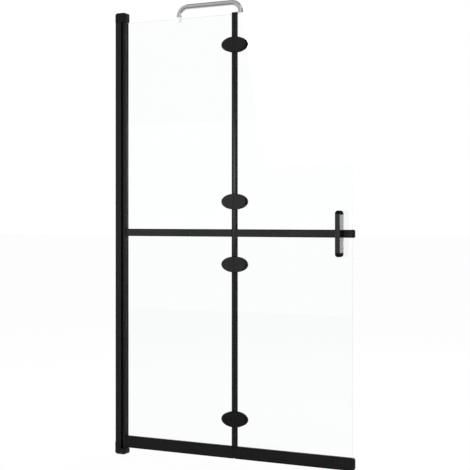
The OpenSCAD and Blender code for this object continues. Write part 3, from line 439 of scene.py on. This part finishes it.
# Plated or bare metal with drawn lines, smears and dried drops
def metalFinish(name, look):
    mat, tree, shader = startFinish(name, {"Metallic": 1.0, "IOR": 1.5})
    lines = useGroup(tree, drawnLines, Along=look["along"], Across=look["across"]).outputs["Lines"]
    patch = useGroup(tree, coatGrain).outputs["Patch"]
    marks = useGroup(tree, dropMarks, Amount=look["marks"]).outputs["Mask"]
    tree.links.new(mixTones(tree, patch, look["dark"], look["light"]), shader.inputs["Base Color"])
    rough = addRange(tree, lines, *noiseSpan, look["roughLow"], look["roughHigh"])
    rough = addMath(tree, "ADD", rough, addMath(tree, "MULTIPLY", marks, look["markRough"]))
    tree.links.new(rough, shader.inputs["Roughness"])
    addBump(tree, shader, lines, look["bump"], look["bumpDepth"])
    return mat


# Matt body with fine grain and a little dust, for rubber, acetal and ground glass
def rubberFinish(name, look):
    mat, tree, shader = startFinish(name, {"IOR": 1.5, "Specular IOR Level": look["specular"]})
    grain = useGroup(tree, coatGrain, Scale=look["grain"])
    dust = useGroup(tree, restDust, Amount=look["dust"]).outputs["Mask"]
    tone = mixTones(tree, grain.outputs["Patch"], look["dark"], look["light"])
    tone = mixTones(tree, dust, tone, look["dustTone"])
    tree.links.new(tone, shader.inputs["Base Color"])
    rough = addRange(tree, grain.outputs["Height"], *noiseSpan, look["roughLow"], look["roughHigh"])
    tree.links.new(rough, shader.inputs["Roughness"])
    addBump(tree, shader, grain.outputs["Height"], look["bump"], look["bumpDepth"])
    return mat


# Clear body, a little tinted by patches, with dried drops on it
def clearFinish(name, look):
    mat, tree, shader = startFinish(name, {
        "Metallic": 0.0, "IOR": look["ior"], "Transmission Weight": 1.0,
    })
    marks = useGroup(tree, dropMarks, Scale=look["markScale"], Amount=look["marks"]).outputs["Mask"]
    patch = useGroup(tree, coatGrain).outputs["Patch"]
    tree.links.new(mixTones(tree, patch, look["dark"], look["light"]), shader.inputs["Base Color"])
    rough = addMath(tree, "MULTIPLY", marks, look["markRough"])
    tree.links.new(rough, shader.inputs["Roughness"])
    return mat


blackLook = {
    "tone": 0.0145, "spread": 0.22,
    "edge": 1.0, "edgeShadeTone": (0.0016, 0.0016, 0.0017), "edgeRough": 0.5, "bandFade": 0.0,
    "markTone": (0.03, 0.03, 0.03), "dustTone": (0.06, 0.06, 0.058), "ior": 1.5, "specular": 0.06,
    "markRough": 0.25, "dustRough": 0.3, "grain": 750.0, "bump": 0.16, "bumpDepth": 0.0001,
    "roughLow": 0.24, "roughHigh": 0.34, "marks": 0.3, "dust": 0.22,
    # painted highlight: gain, height, spread, and place across the piece with its reach
    "paintedSheen": 1.3, "paintedSheenAt": 0.0, "paintedSheenSpread": 0.5, "paintedSheenAcross": 0.0, "paintedSheenReach": 10.0,
}
mouldedLook = {
    **blackLook, "tone": 0.0105, "specular": 0.05, "grain": 1600.0, "bump": 0.3, "roughLow": 0.32,
    "roughHigh": 0.44, "dust": 0.25, "paintedSheen": 1.0,
}
lacquerLook = {
    **blackLook, "tone": 0.0035, "edge": 0.6, "edgeRough": 0.1, "ior": 1.52, "specular": 0.40,
    "grain": 420.0, "bump": 0.01, "roughLow": 0.09, "roughHigh": 0.13, "marks": 0.1, "dust": 0.1,
    "paintedSheen": 1.0,
}
rubberLook = {"dustTone": (0.10, 0.10, 0.095), "bump": 0.35, "bumpDepth": 0.00012}
clearLook = {"markScale": 70.0, "markRough": 0.12}
metalLook = {"markRough": 0.18, "bumpDepth": 0.00005}
# The frame's blacks below are copies of one coat whose tones, set part by part, paint the light and
# shade each part gets, such as the lighter crossbar at mid-height
finishes = {
    "frame_black": sprayedFinish("satinBlackCoat", blackLook),
    "pivotBlack": sprayedFinish("pivotBlackCoat", {**blackLook, "tone": 0.0085, "specular": 0.15}),
    "wallPostBlack": sprayedFinish("wallPostBlackCoat", {
        **blackLook, "tone": 0.023, "paintedSheen": 3.6, "paintedSheenAt": 0.17, "paintedSheenSpread": 0.2,
        "paintedSheenAcross": 0.419, "paintedSheenReach": 0.0032,
    }),
    "outerPostBlack": sprayedFinish("outerPostBlackCoat", {
        **blackLook, "tone": 0.021, "paintedSheen": 7.2, "paintedSheenAt": 0.17, "paintedSheenSpread": 0.18,
        "paintedSheenAcross": 0.419, "paintedSheenReach": 0.0028, "bandFade": 1.0,
    }),
    "crossbarBlack": sprayedFinish("crossbarBlackCoat", {**blackLook, "tone": 0.0285, "paintedSheen": 1.0}),
    "sillBlack": sprayedFinish("sillBlackCoat", {
        **blackLook, "tone": 0.0135, "specular": 0.05, "paintedSheen": 1.0,
    }),
    "plateBlack": sprayedFinish("plateBlackCoat", {
        **blackLook, "tone": 0.0076, "paintedSheen": 3.9, "paintedSheenAt": 0.11, "paintedSheenSpread": 0.52,
        "specular": 0.05, "edge": 0.75,
    }),
    "endBlack": sprayedFinish("endBlackCoat", {
        **blackLook, "tone": 0.0135, "specular": 0.03, "roughLow": 0.6, "roughHigh": 0.75, "paintedSheen": 1.0,
    }),
    "moulded_black": sprayedFinish("mouldedBlack", mouldedLook),
    "handleBlack": sprayedFinish("handleBlackLacquer", lacquerLook),
    "tipBlack": sprayedFinish("tipBlackLacquer", {
        **lacquerLook, "tone": 0.011, "edge": 0.7, "specular": 0.012, "grain": 500.0, "bump": 0.06,
        "roughLow": 0.55, "roughHigh": 0.7, "dust": 0.08,
    }),
    "bearing_plastic": rubberFinish("smoothAcetal", {
        **rubberLook, "dark": (0.008, 0.008, 0.008), "light": (0.012, 0.012, 0.012), "specular": 0.4,
        "grain": 500.0, "dust": 0.1, "roughLow": 0.28, "roughHigh": 0.36,
    }),
    "rubber_black": rubberFinish("mattRubber", {
        **rubberLook, "dark": (0.0016, 0.0016, 0.0016), "light": (0.004, 0.004, 0.004), "specular": 0.08,
        "grain": 1300.0, "dust": 0.2, "roughLow": 0.62, "roughHigh": 0.8,
    }),
    "glass_clear": clearFinish("clearToughened", {
        **clearLook, "dark": (0.982, 0.994, 0.991), "light": (0.99, 0.997, 0.995),
        "ior": 1.5, "marks": 0.25,
    }),
    "groundEdge": rubberFinish("groundGlassEdge", {
        **rubberLook, "dark": (0.80, 0.895, 0.865), "light": (0.88, 0.94, 0.92), "specular": 0.5,
        "grain": 2200.0, "dust": 0.0, "roughLow": 0.38, "roughHigh": 0.55,
    }),
    "clear_plastic": clearFinish("clearMoulding", {
        **clearLook, "dark": (0.955, 0.975, 0.98), "light": (0.965, 0.985, 0.99),
        "ior": 1.45, "marks": 0.15,
    }),
    "bow_chrome": metalFinish("greyPlating", {
        **metalLook, "dark": (0.50, 0.50, 0.52), "light": (0.59, 0.59, 0.615),
        "along": 3.0, "across": 500.0, "bump": 0.05, "roughLow": 0.12, "roughHigh": 0.22, "marks": 0.5,
    }),
    "screw_steel": metalFinish("stainlessSteel", {
        **metalLook, "dark": (0.40, 0.40, 0.41), "light": (0.55, 0.55, 0.56),
        "along": 700.0, "across": 900.0, "bump": 0.12, "roughLow": 0.22, "roughHigh": 0.34, "marks": 0.3,
    }),
}
slotOf = {row["node"]: row["material_slot"] for row in frame["record"]["subparts"]}
bodyOf = {node: body for body, names in frame["record"]["behaviour"]["bodies"].items() for node in names}
for nodeName, cadObject in cadNodes.items():
    cadObject.data.materials.clear()
    cadObject.data.materials.append(finishes[slotOf[nodeName]])
print("finishes made and put on the carried-over nodes")


# Making surfaces

mergeDistance = 2e-6      # points nearer than this, in metres, become one


# Puts a mesh in the scene as the piece for a node, smooth but for edges over the sharp angle in degrees
def placePiece(name, mesh, node, finish=None, sharp=32.0):
    work = bmesh.new()
    work.from_mesh(mesh)
    bmesh.ops.remove_doubles(work, verts=work.verts, dist=mergeDistance)
    bmesh.ops.recalc_face_normals(work, faces=work.faces)
    work.to_mesh(mesh)
    work.free()
    mesh.shade_smooth()
    mesh.set_sharp_from_angle(angle=radians(sharp))
    piece = bpy.data.objects.new(name, mesh)
    bpy.context.scene.collection.objects.link(piece)
    piece.data.materials.append(finishes[finish or slotOf[node]])
    even = piece.modifiers.new("evenNormals", "WEIGHTED_NORMAL")
    even.keep_sharp = True
    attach(piece, bodyOf[node])
    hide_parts(node)
    return piece


# A mesh of closed skins. Each block is an array loops x points x 3 in millimetres: each loop is joined
# to the next by quads, point by point, and the first and last loops are filled. The rims are how much
# painted edge shade each point takes, from 0 to 1.
def meshFromLoops(name, blocks, rims=None):
    points, faces, bands, base = [], [], [], 0
    for at, block in enumerate(blocks):
        loops, count = block.shape[:2]
        ids = base + np.arange(loops * count).reshape(loops, count)
        ahead = np.roll(ids, -1, axis=1)
        quads = np.stack([ids[:-1], ahead[:-1], ahead[1:], ids[1:]], axis=-1).reshape(-1, 4)
        faces += quads.tolist() + [ids[0, ::-1].tolist(), ids[-1].tolist()]
        points.append((block.reshape(-1, 3) - (0, 0, midHeight)) * mm)
        bands.append(np.zeros(loops * count) if rims is None else rims[at].reshape(-1))
        base += loops * count
    mesh = bpy.data.meshes.new(name)
    mesh.from_pydata(np.concatenate(points).tolist(), [], faces)
    layer = mesh.attributes.new("rim", "FLOAT", "POINT")
    layer.data.foreach_set("value", np.concatenate(bands).astype(np.float32))
    return mesh


# Outline with each corner replaced by a curve from one side to the next: the corner is the middle point
# of a quadratic curve whose ends lie one radius along the two sides. One more point lies a band and a
# margin further along each side, and the second array is 1 on the curves with a band and 0 elsewhere:
# there the edge takes painted shade.
def softOutline(corners, radius, band, steps=5, margin=0.05):
    corner = np.array(corners, float)
    radius = np.array(radius, float)[:, None]
    band = np.array(band, float)[:, None]
    before, after = np.roll(corner, 1, 0) - corner, np.roll(corner, -1, 0) - corner
    before /= np.linalg.norm(before, axis=1, keepdims=True)
    after /= np.linalg.norm(after, axis=1, keepdims=True)
    start, end = (corner + radius * before)[:, None], (corner + radius * after)[:, None]
    t = np.linspace(0, 1, steps + 1)[None, :, None]
    curve = (1 - t) ** 2 * start + 2 * t * (1 - t) * corner[:, None] + t ** 2 * end
    first = start + (band + margin)[:, None] * before[:, None]
    last = end + (band + margin)[:, None] * after[:, None]
    points = np.concatenate([first, curve, last], axis=1)
    rim = np.zeros(points.shape[:2])
    rim[:, 1:-1] = band > 0
    return points.reshape(-1, 2), rim.reshape(-1)


# Loops of a bar: the outline is carried along an axis from low to high, and drawn in at both ends by
# edge * (1 - sin a) while it moves by edge * (1 - cos a), which rounds the end edges. Where an end band
# is given, the ends take painted shade that fades out over the band and the margin.
def carryOutline(outline, rim, low, high, axis, edge, endBand, steps=3, margin=0.5):
    ahead = np.roll(outline, -1, 0)
    side = ahead - np.roll(outline, 1, 0)
    inward = np.stack([-side[:, 1], side[:, 0]], 1)
    inward /= np.maximum(np.linalg.norm(inward, axis=1, keepdims=True), 1e-9)
    inward *= np.sign(np.sum(outline[:, 0] * ahead[:, 1] - outline[:, 1] * ahead[:, 0]))
    a = np.linspace(0, pi / 2, steps + 1)
    gap = endBand + margin
    inset = np.concatenate([edge * (1 - np.sin(a)), [0, 0], edge * (1 - np.sin(a[::-1]))])
    along = np.concatenate([low + edge * (1 - np.cos(a)), [low + edge + gap, high - edge - gap],
                            high - edge * (1 - np.cos(a[::-1]))])
    dark = np.concatenate([np.full(steps + 1, endBand > 0), [0, 0], np.full(steps + 1, endBand > 0)])
    flat = outline[None] + inset[:, None, None] * inward[None]
    run = np.broadcast_to(along[:, None], flat.shape[:2])
    order = {"x": (run, flat[..., 0], flat[..., 1]), "z": (flat[..., 0], flat[..., 1], run)}[axis]
    return np.stack(order, -1), np.maximum(rim[None], dark[:, None])


# Merged copy of a CAD node whose hard edges are rounded by a narrow bevel. Where darkTo is given, it is
# cut at that x and has painted shade on the side of the wall, which ends over the fade.
def softCopy(name, node, width, finish=None, angle=38, darkTo=None, fade=0.1):
    mesh = cadNodes[node].data.copy()
    mesh.name = name
    mesh.materials.clear()
    work = bmesh.new()
    work.from_mesh(mesh)
    bmesh.ops.remove_doubles(work, verts=work.verts, dist=mergeDistance)
    bmesh.ops.dissolve_limit(work, angle_limit=radians(0.6), verts=work.verts, edges=work.edges)
    if darkTo:
        for x in (darkTo, darkTo + fade):
            every = work.verts[:] + work.edges[:] + work.faces[:]
            bmesh.ops.bisect_plane(work, geom=every, plane_co=(x * mm, 0, 0), plane_no=(1, 0, 0))
    work.to_mesh(mesh)
    work.free()
    if darkTo:
        places = np.empty(len(mesh.vertices) * 3, np.float32)
        mesh.vertices.foreach_get("co", places)
        layer = mesh.attributes.new("rim", "FLOAT", "POINT")
        layer.data.foreach_set("value", (places[::3] < (darkTo + fade / 2) * mm).astype(np.float32))
    piece = placePiece(name, mesh, node, finish, sharp=30.0)
    bevel = piece.modifiers.new("softEdges", "BEVEL")
    bevel.width = width * mm
    bevel.segments = 2
    bevel.limit_method = "ANGLE"
    bevel.angle_limit = radians(angle)
    bevel.harden_normals = False
    piece.modifiers.move(1, 0)
    return piece


# Top bow

bowLook = {
    "radius": 8.0, "leftFoot": 225.5, "rightFoot": 438.0, "footLevel": 1371.6, "barLevel": 1402.0,
    "bend": 30.0, "sides": 48, "bendSteps": 18, "barSteps": 10, "lip": 0.5,
}


# Straight foot, quarter bend, bar, quarter bend, straight foot, all in the plane of the glass
def bowPath(look):
    turn = np.linspace(0, pi / 2, look["bendSteps"] + 1)
    low, high, r = look["footLevel"], look["barLevel"], look["bend"]
    left = np.stack([look["leftFoot"] + r - r * np.cos(turn), high - r + r * np.sin(turn)], 1)
    right = np.stack([look["rightFoot"] - r + r * np.sin(turn), high - r + r * np.cos(turn)], 1)
    lip = min(look["lip"], (high - r - low) / 2)
    start = np.array([[look["leftFoot"], low], [look["leftFoot"], low + lip]])
    end = np.array([[look["rightFoot"], low + lip], [look["rightFoot"], low]])
    inBetween = np.linspace(left[-1, 0], right[0, 0], look["barSteps"] + 2)[1:-1]
    middle = np.stack([inBetween, np.full(look["barSteps"], high)], 1)
    return np.concatenate([start, left, middle, right, end])


# A circle carried along a path in the X and Z plane: each point is the path plus the radius times
# (cos a times the path's normal, sin a across the plane)
def tubeLoops(path, radii, sides):
    way = np.gradient(path, axis=0)
    way /= np.linalg.norm(way, axis=1, keepdims=True)
    normal = np.stack([-way[:, 1], way[:, 0]], 1)
    a = np.linspace(0, 2 * pi, sides, endpoint=False)
    x = path[:, None, 0] + radii[:, None] * np.cos(a) * normal[:, None, 0]
    z = path[:, None, 1] + radii[:, None] * np.cos(a) * normal[:, None, 1]
    y = radii[:, None] * np.sin(a) + 0 * x
    return np.stack([x, y, z], -1)


route = bowPath(bowLook)
radii = np.full(len(route), bowLook["radius"])
radii[[0, -1]] -= bowLook["lip"]
placePiece("bowTube", meshFromLoops("bowTube", [tubeLoops(route, radii, bowLook["sides"])]), "top_bow")
softCopy("bowFlange", "bow_foot_plate", 0.3)
softCopy("bowShoe", "bow_glass_shoe", 0.5)
print("bow made")


# Oval hinge plates

plateLook = {
    "halfWidth": 42.0, "halfHeight": 23.75, "face": 10.0, "under": 3.5, "seam": 0.3, "crown": 0.5,
    "rimWidth": 0.075, "rimDrop": 1.8, "bandGain": 1.6, "pocketReach": 8.1, "pocketDepth": 6.1,
    "rows": 57, "columns": 26, "tipTurn": 87.6, "seamRound": 0.35, "seamReach": 0.8,
}


# Loops of one half plate, one loop for each height. The face stands face - crown * q squared - rim(q)
# from the middle of the glass, where q is the point's distance from the oval's middle as a share of the
# ellipse's, and rim is a quarter circle over the last rimWidth of q. The painted edge shade grows over
# the same share, and the face falls a little towards the seam.
def plateLoops(look, side, facing):
    turn = np.linspace(-radians(look["tipTurn"]), radians(look["tipTurn"]), look["rows"])
    z = look["halfHeight"] * np.sin(turn)
    reach = look["halfWidth"] * np.cos(turn)
    share = np.sin(np.linspace(0, pi / 2, look["columns"]))
    x = look["seam"] + share[None] * (reach[:, None] - look["seam"])
    q = np.sqrt((x / look["halfWidth"]) ** 2 + (z[:, None] / look["halfHeight"]) ** 2)
    into = np.clip((q - 1 + look["rimWidth"]) / look["rimWidth"], 0, 1)
    drop = look["rimDrop"] * (1 - np.sqrt(np.maximum(1 - into ** 2, 0)))
    face = look["face"] - look["crown"] * q ** 2 - drop
    ease = np.clip(1 - (x - look["seam"]) / look["seamReach"], 0, 1)
    face = face - look["seamRound"] * ease ** 2
    inner = np.minimum(look["pocketReach"], reach)
    floorAt = np.where(reach > look["pocketReach"], look["under"], look["pocketDepth"])
    back = np.stack([
        np.stack([reach, floorAt], 1), np.stack([inner, floorAt], 1),
        np.stack([inner, np.full_like(inner, look["pocketDepth"])], 1),
        np.stack([np.full_like(inner, look["seam"]), np.full_like(inner, look["pocketDepth"])], 1),
    ], 1)
    loop = np.concatenate([np.stack([x, face], -1), back], axis=1)
    rise = np.broadcast_to(z[:, None], loop.shape[:2])
    band = np.clip(look["bandGain"] * into, 0, 1)
    rim = np.concatenate([band, np.ones((len(z), 1)), np.zeros((len(z), 3))], axis=1)
    return np.stack([foldLine + side * loop[..., 0], facing * loop[..., 1], rise], -1), rim


def lift(block, level):
    return block + np.array([0, 0, level])


for leafName, node, side in (("wallPlates", "wall_hinge_front_plates", -1),
                             ("outerPlates", "outer_hinge_front_plates", 1)):
    half, halfRim = plateLoops(plateLook, side, -1)
    ovals = meshFromLoops(leafName, [lift(half, z) for z in hingeLevels], [halfRim] * len(hingeLevels))
    placePiece(leafName, ovals, node, "plateBlack")
softCopy("wallKnuckles", "wall_hinge_back_plates", 0.35, "plateBlack", angle=40)
softCopy("outerKnuckles", "outer_hinge_back_plates", 0.35, "plateBlack", angle=40)
print("hinge plates made")


# Handle

handleLook = {
    "middle": (764.0, -22.5), "half": (7.5, 16.0), "foot": 636.7, "head": 770.7, "tip": 12.0,
    "domeRise": 9.0, "domeInset": 6.0, "domeSteps": 13, "crownInset": 0.6, "joint": 0.15,
    "corner": 1.3, "cornerGain": 0.35, "cornerLeast": 0.3, "cornerShare": 0.98, "cornerSteps": 8,
    # rounded edges at the joints: how far along, and how far in
    "barEdge": (0.0, 0.1, 0.35), "tipEdge": (0.0, 0.15, 0.4), "edgeInset": (0.35, 0.1, 0.0),
    "bandStart": 3.0, "bandGrowth": 4.0,
}


# Section of the bar: a rectangle with quarter-circle corners, drawn in all round by each inset. The
# corners get softer as the section is drawn in up the dome.
def barSection(look, insets):
    turn = np.linspace(0, pi / 2, look["cornerSteps"] + 1)
    a = (turn[None] + np.arange(4)[:, None] * pi / 2).reshape(-1)
    signX = np.repeat([1, -1, -1, 1], len(turn))
    signY = np.repeat([1, 1, -1, -1], len(turn))
    radius = np.maximum(look["corner"] + look["cornerGain"] * insets, look["cornerLeast"])[:, None]
    halfX = look["half"][0] - insets[:, None]
    halfY = look["half"][1] - insets[:, None]
    radius = np.minimum(radius, look["cornerShare"] * halfX)
    x = look["middle"][0] + signX * (halfX - radius) + radius * np.cos(a)
    y = look["middle"][1] + signY * (halfY - radius) + radius * np.sin(a)
    return x, y


def handleLoops(look, levels, insets):
    x, y = barSection(look, insets)
    return np.stack([x, y, np.broadcast_to(levels[:, None], x.shape)], -1)


foot, head, tip = handleLook["foot"], handleLook["head"], handleLook["tip"]
gap, rise, inset = handleLook["joint"], handleLook["domeRise"], handleLook["domeInset"]
barEdge, tipEdge = np.array(handleLook["barEdge"]), np.array(handleLook["tipEdge"])
edgeInset, crown = np.array(handleLook["edgeInset"]), handleLook["crownInset"]
barLevels = np.concatenate([foot + tip + barEdge, (head - tip - barEdge)[::-1]])
bar = handleLoops(handleLook, barLevels, np.concatenate([edgeInset, edgeInset[::-1]]))
placePiece("handleBar", meshFromLoops("handleBar", [bar]), "handle_bar", "handleBlack")
domeTurn = np.linspace(0, pi / 2, handleLook["domeSteps"] + 1)[:-1]
domeRise = np.concatenate([gap + tipEdge, tip - rise + rise * np.sin(domeTurn), [tip]])
domeInset = np.concatenate([edgeInset, inset * (1 - np.cos(domeTurn)), [inset + crown]])
# Painted shade: the dome darkens towards its tip through the rim attribute
domeRim = np.clip((domeRise - handleLook["bandStart"]) / handleLook["bandGrowth"], 0, 1)
upper = handleLoops(handleLook, head - tip + domeRise, domeInset)
lower = handleLoops(handleLook, foot + tip - domeRise, domeInset)
tipRim = np.broadcast_to(domeRim[:, None], upper.shape[:2])
tips = meshFromLoops("handleTips", [upper, lower], [tipRim, tipRim])
placePiece("handleTips", tips, "handle_end_caps", "tipBlack")
print("handle made")


# Profiles

profileLook = {
    "slot": 3.5, "lipRound": 0.3, "slotRound": 0.2, "uprightEdge": 0.15, "levelEdge": 0.12,
    "pivot": {"left": 28.0, "right": 37.5, "half": 10.0, "foot": 23.6, "head": 1366.9, "slotDepth": 6.0,
              "radii": (1.1, 0.8), "bands": (0, 0), "endBand": 0},
    # endBand: how far painted shade reaches in from the posts' ends
    "post": {"left": 0.3, "right": 8.0, "half": 6.0, "foot": 58.4, "slotDepth": 4.0, "endBand": 4.0},
    "wallPost": {"side": -1, "head": 1370.0, "radii": (0.9, 0.5), "bands": (0, 2.4)},
    "outerPost": {"side": 1, "head": 1368.4, "radii": (1.5, 0.6), "bands": (1.6, 0.8)},
    # band: width of the painted edge shade along the bars' outer corners
    "crossbar": {"half": 6.5, "foot": 692.2, "head": 715.2, "slotDepth": 8.0, "bothWays": True,
                 "radius": 1.1, "band": 1.5, "start": 37.5, "fromFold": 8.0, "end": 798.0},
    "sill": {"half": 8.0, "foot": 23.6, "head": 58.4, "slotDepth": 15.0, "bothWays": False,
             "radius": 1.4, "band": 1.2, "start": 37.5, "fromFold": 3.3, "end": 791.0},
}


# Closed side at left, glazing slot open at right. The radii are those of the closed side's corners and
# of the slot's lips, and the bands are the widths of painted edge shade at the same corners.
def uprightOutline(look, slotHalf, lipRound, slotRound):
    left, right, half = look["left"], look["right"], look["half"]
    slotEnd = right - look["slotDepth"]
    corners = [
        (left, -half), (right, -half), (right, -slotHalf), (slotEnd, -slotHalf),
        (slotEnd, slotHalf), (right, slotHalf), (right, half), (left, half),
    ]
    closed, lip = look["radii"]
    closedBand, lipBand = look["bands"]
    return softOutline(corners, [closed, lip, lipRound, slotRound, slotRound, lipRound, lip, closed],
                       [closedBand, lipBand, 0, 0, 0, 0, lipBand, closedBand])


# A level bar with a glazing slot above, and one below as well where both ways is set
def levelOutline(look, slotHalf, lipRound, slotRound):
    half, foot, head = look["half"], look["foot"], look["head"]
    above, below = foot + look["slotDepth"], head - look["slotDepth"]
    slotSizes = [lipRound, slotRound, slotRound, lipRound]
    corners, sizes, bands = [(-half, foot)], [look["radius"]], [look["band"]]
    if look["bothWays"]:
        corners += [(-slotHalf, foot), (-slotHalf, above), (slotHalf, above), (slotHalf, foot)]
        sizes += slotSizes
        bands += [0, 0, 0, 0]
    corners += [(half, foot), (half, head), (slotHalf, head), (slotHalf, below), (-slotHalf, below),
                (-slotHalf, head), (-half, head)]
    sizes += [look["radius"], look["radius"], *slotSizes, look["radius"]]
    bands += [look["band"], look["band"], 0, 0, 0, 0, look["band"]]
    return softOutline(corners, sizes, bands)


def placeBar(name, node, outline, rim, low, high, axis, edge, endBand, finish):
    loops, bands = carryOutline(outline, rim, low, high, axis, edge, endBand)
    placePiece(name, meshFromLoops(name, [loops], [bands]), node, finish)


rounds = [profileLook[key] for key in ("slot", "lipRound", "slotRound")]
edge = profileLook["uprightEdge"]
look = profileLook["pivot"]
outline, rim = uprightOutline(look, *rounds)
placeBar("pivotUpright", "pivot_profile", outline, rim, look["foot"], look["head"], "z", edge,
         look["endBand"], "pivotBlack")
for name, node, finish in (("wallPost", "wall_edge_profile", "wallPostBlack"),
                           ("outerPost", "outer_edge_profile", "outerPostBlack")):
    look = {**profileLook["post"], **profileLook[name]}
    outline, rim = uprightOutline(look, *rounds)
    outline = np.stack([foldLine + look["side"] * outline[:, 0], outline[:, 1]], 1)
    placeBar(name, node, outline, rim, look["foot"], look["head"], "z", edge, look["endBand"], finish)
edge = profileLook["levelEdge"]
levelBars = [
    # kind, finish, piece and node on the wall leaf, piece and node on the outer leaf
    ("crossbar", "crossbarBlack", ("wallCrossbar", "wall_transom"), ("outerCrossbar", "outer_transom")),
    ("sill", "sillBlack", ("wallSill", "wall_bottom_rail"), ("outerSill", "outer_bottom_rail")),
]
for kind, finish, wallPart, outerPart in levelBars:
    look = profileLook[kind]
    outline, rim = levelOutline(look, *rounds)
    for part, low, high in ((wallPart, look["start"], foldLine - look["fromFold"]),
                            (outerPart, foldLine + look["fromFold"], look["end"])):
        placeBar(*part, outline, rim, low, high, "x", edge, 0, finish)
print("profiles made")


# Panes with their edges ground: the faces that look along the pane get the second finish

paneLook = {"arris": 0.35, "facing": 0.9}
for name, node in (("wallUpperPane", "wall_upper_glass"), ("wallLowerPane", "wall_lower_glass"),
                   ("outerUpperPane", "outer_upper_glass"), ("outerLowerPane", "outer_lower_glass")):
    pane = softCopy(name, node, paneLook["arris"])
    pane.data.materials.append(finishes["groundEdge"])
    ways = np.empty(len(pane.data.polygons) * 3, np.float32)
    pane.data.polygons.foreach_get("normal", ways)
    edgeOn = (np.abs(ways.reshape(-1, 3)[:, 1]) < paneLook["facing"]).astype(np.int32)
    pane.data.polygons.foreach_set("material_index", edgeOn)
    pane.modifiers["softEdges"].material = 1
print("panes made")


# Channel, caps and plugs with softened edges. The channel has painted shade where it meets the wall.

softCopy("wallChannel", "wall_channel", 0.4, darkTo=2.2)
softCopies = {
    # piece: node, bevel width, finish
    "topCap": ("top_bearing_cap", 0.5, None), "bottomCap": ("bottom_bearing_cap", 0.5, "sillBlack"),
    "crossbarEnd": ("transom_end_cap", 0.35, "endBlack"), "sillEnd": ("rail_end_cap", 0.5, "endBlack"),
    "wallSillCap": ("wall_rail_inner_cap", 0.3, "sillBlack"),
    "outerSillCap": ("outer_rail_inner_cap", 0.3, "sillBlack"),
    "pivotPlugs": ("pivot_end_plugs", 0.3, None), "postCap": ("outer_edge_cap", 0.25, None),
    "screwCovers": ("clamp_screw_covers", 0.2, None),
}
for name, (node, width, finish) in softCopies.items():
    softCopy(name, node, width, finish)
print("caps softened")


# Screws with a hexagon socket

screwLook = {
    "sides": 48, "lip": 0.12, "tipInset": 0.4, "tipRise": 0.5,
    # the socket's half width and depth as shares of the head's width, and its edges
    "socket": 0.21, "socketDepth": 0.21, "socketEdge": 0.25, "socketStart": 0.05, "socketBelow": 0.4,
    "socketFit": 1.08,
}


# A turned screw along Y with its head at y = face. Each loop is a circle of the profile, and the loops
# of the socket take the radius of a hexagon, apothem / cos(angle from the nearest flat).
def screwLoops(look, place, face, length, shaft, head, headDepth):
    a = np.linspace(0, 2 * pi, look["sides"], endpoint=False)
    hexagon = np.cos(pi / 6) / np.cos(np.mod(a + pi / 6, pi / 3) - pi / 6)
    lip, flat = look["lip"], head * look["socket"]
    profile = np.array([
        [shaft / 2 - look["tipInset"], -length], [shaft / 2, look["tipRise"] - length],
        [shaft / 2, -headDepth], [head / 2, -lip], [head / 2 - lip, 0], [flat + look["socketEdge"], 0],
    ])
    bottom = head * look["socketDepth"] + look["socketBelow"]
    socket = np.array([[flat, -look["socketStart"]], [flat, -bottom]])
    radius = np.concatenate([profile[:, :1] + 0 * a, socket[:, :1] * hexagon * look["socketFit"]])
    depth = np.concatenate([profile[:, 1], socket[:, 1]])
    x = place[0] + radius * np.cos(a)
    z = place[1] + radius * np.sin(a)
    y = np.broadcast_to(face + depth[:, None], x.shape)
    return np.stack([x, y, z], -1)


def placeScrews(name, node, places, sizes):
    blocks = [screwLoops(screwLook, place, *sizes) for place in places]
    placePiece(name, meshFromLoops(name, blocks), node)


# The sizes are the head's y, length, shaft, head and the head's depth
clampScrews = {"in": 23.0, "half": 10.5, "sizes": (10.0, 18.0, 5.0, 9.4, 2.5)}
for name, node, side in (("wallClamps", "wall_hinge_screws", -1),
                         ("outerClamps", "outer_hinge_screws", 1)):
    x = foldLine + side * clampScrews["in"]
    places = [(x, z + s * clampScrews["half"]) for z in hingeLevels for s in (-1, 1)]
    placeScrews(name, node, places, clampScrews["sizes"])
handleScrews = {"places": [(760.5, 703.7), (767.5, 703.7)], "sizes": (6.5, 29.0, 4.0, 6.7, 2.0)}
placeScrews("handleScrews", "handle_screws", handleScrews["places"], handleScrews["sizes"])
print("screws made")
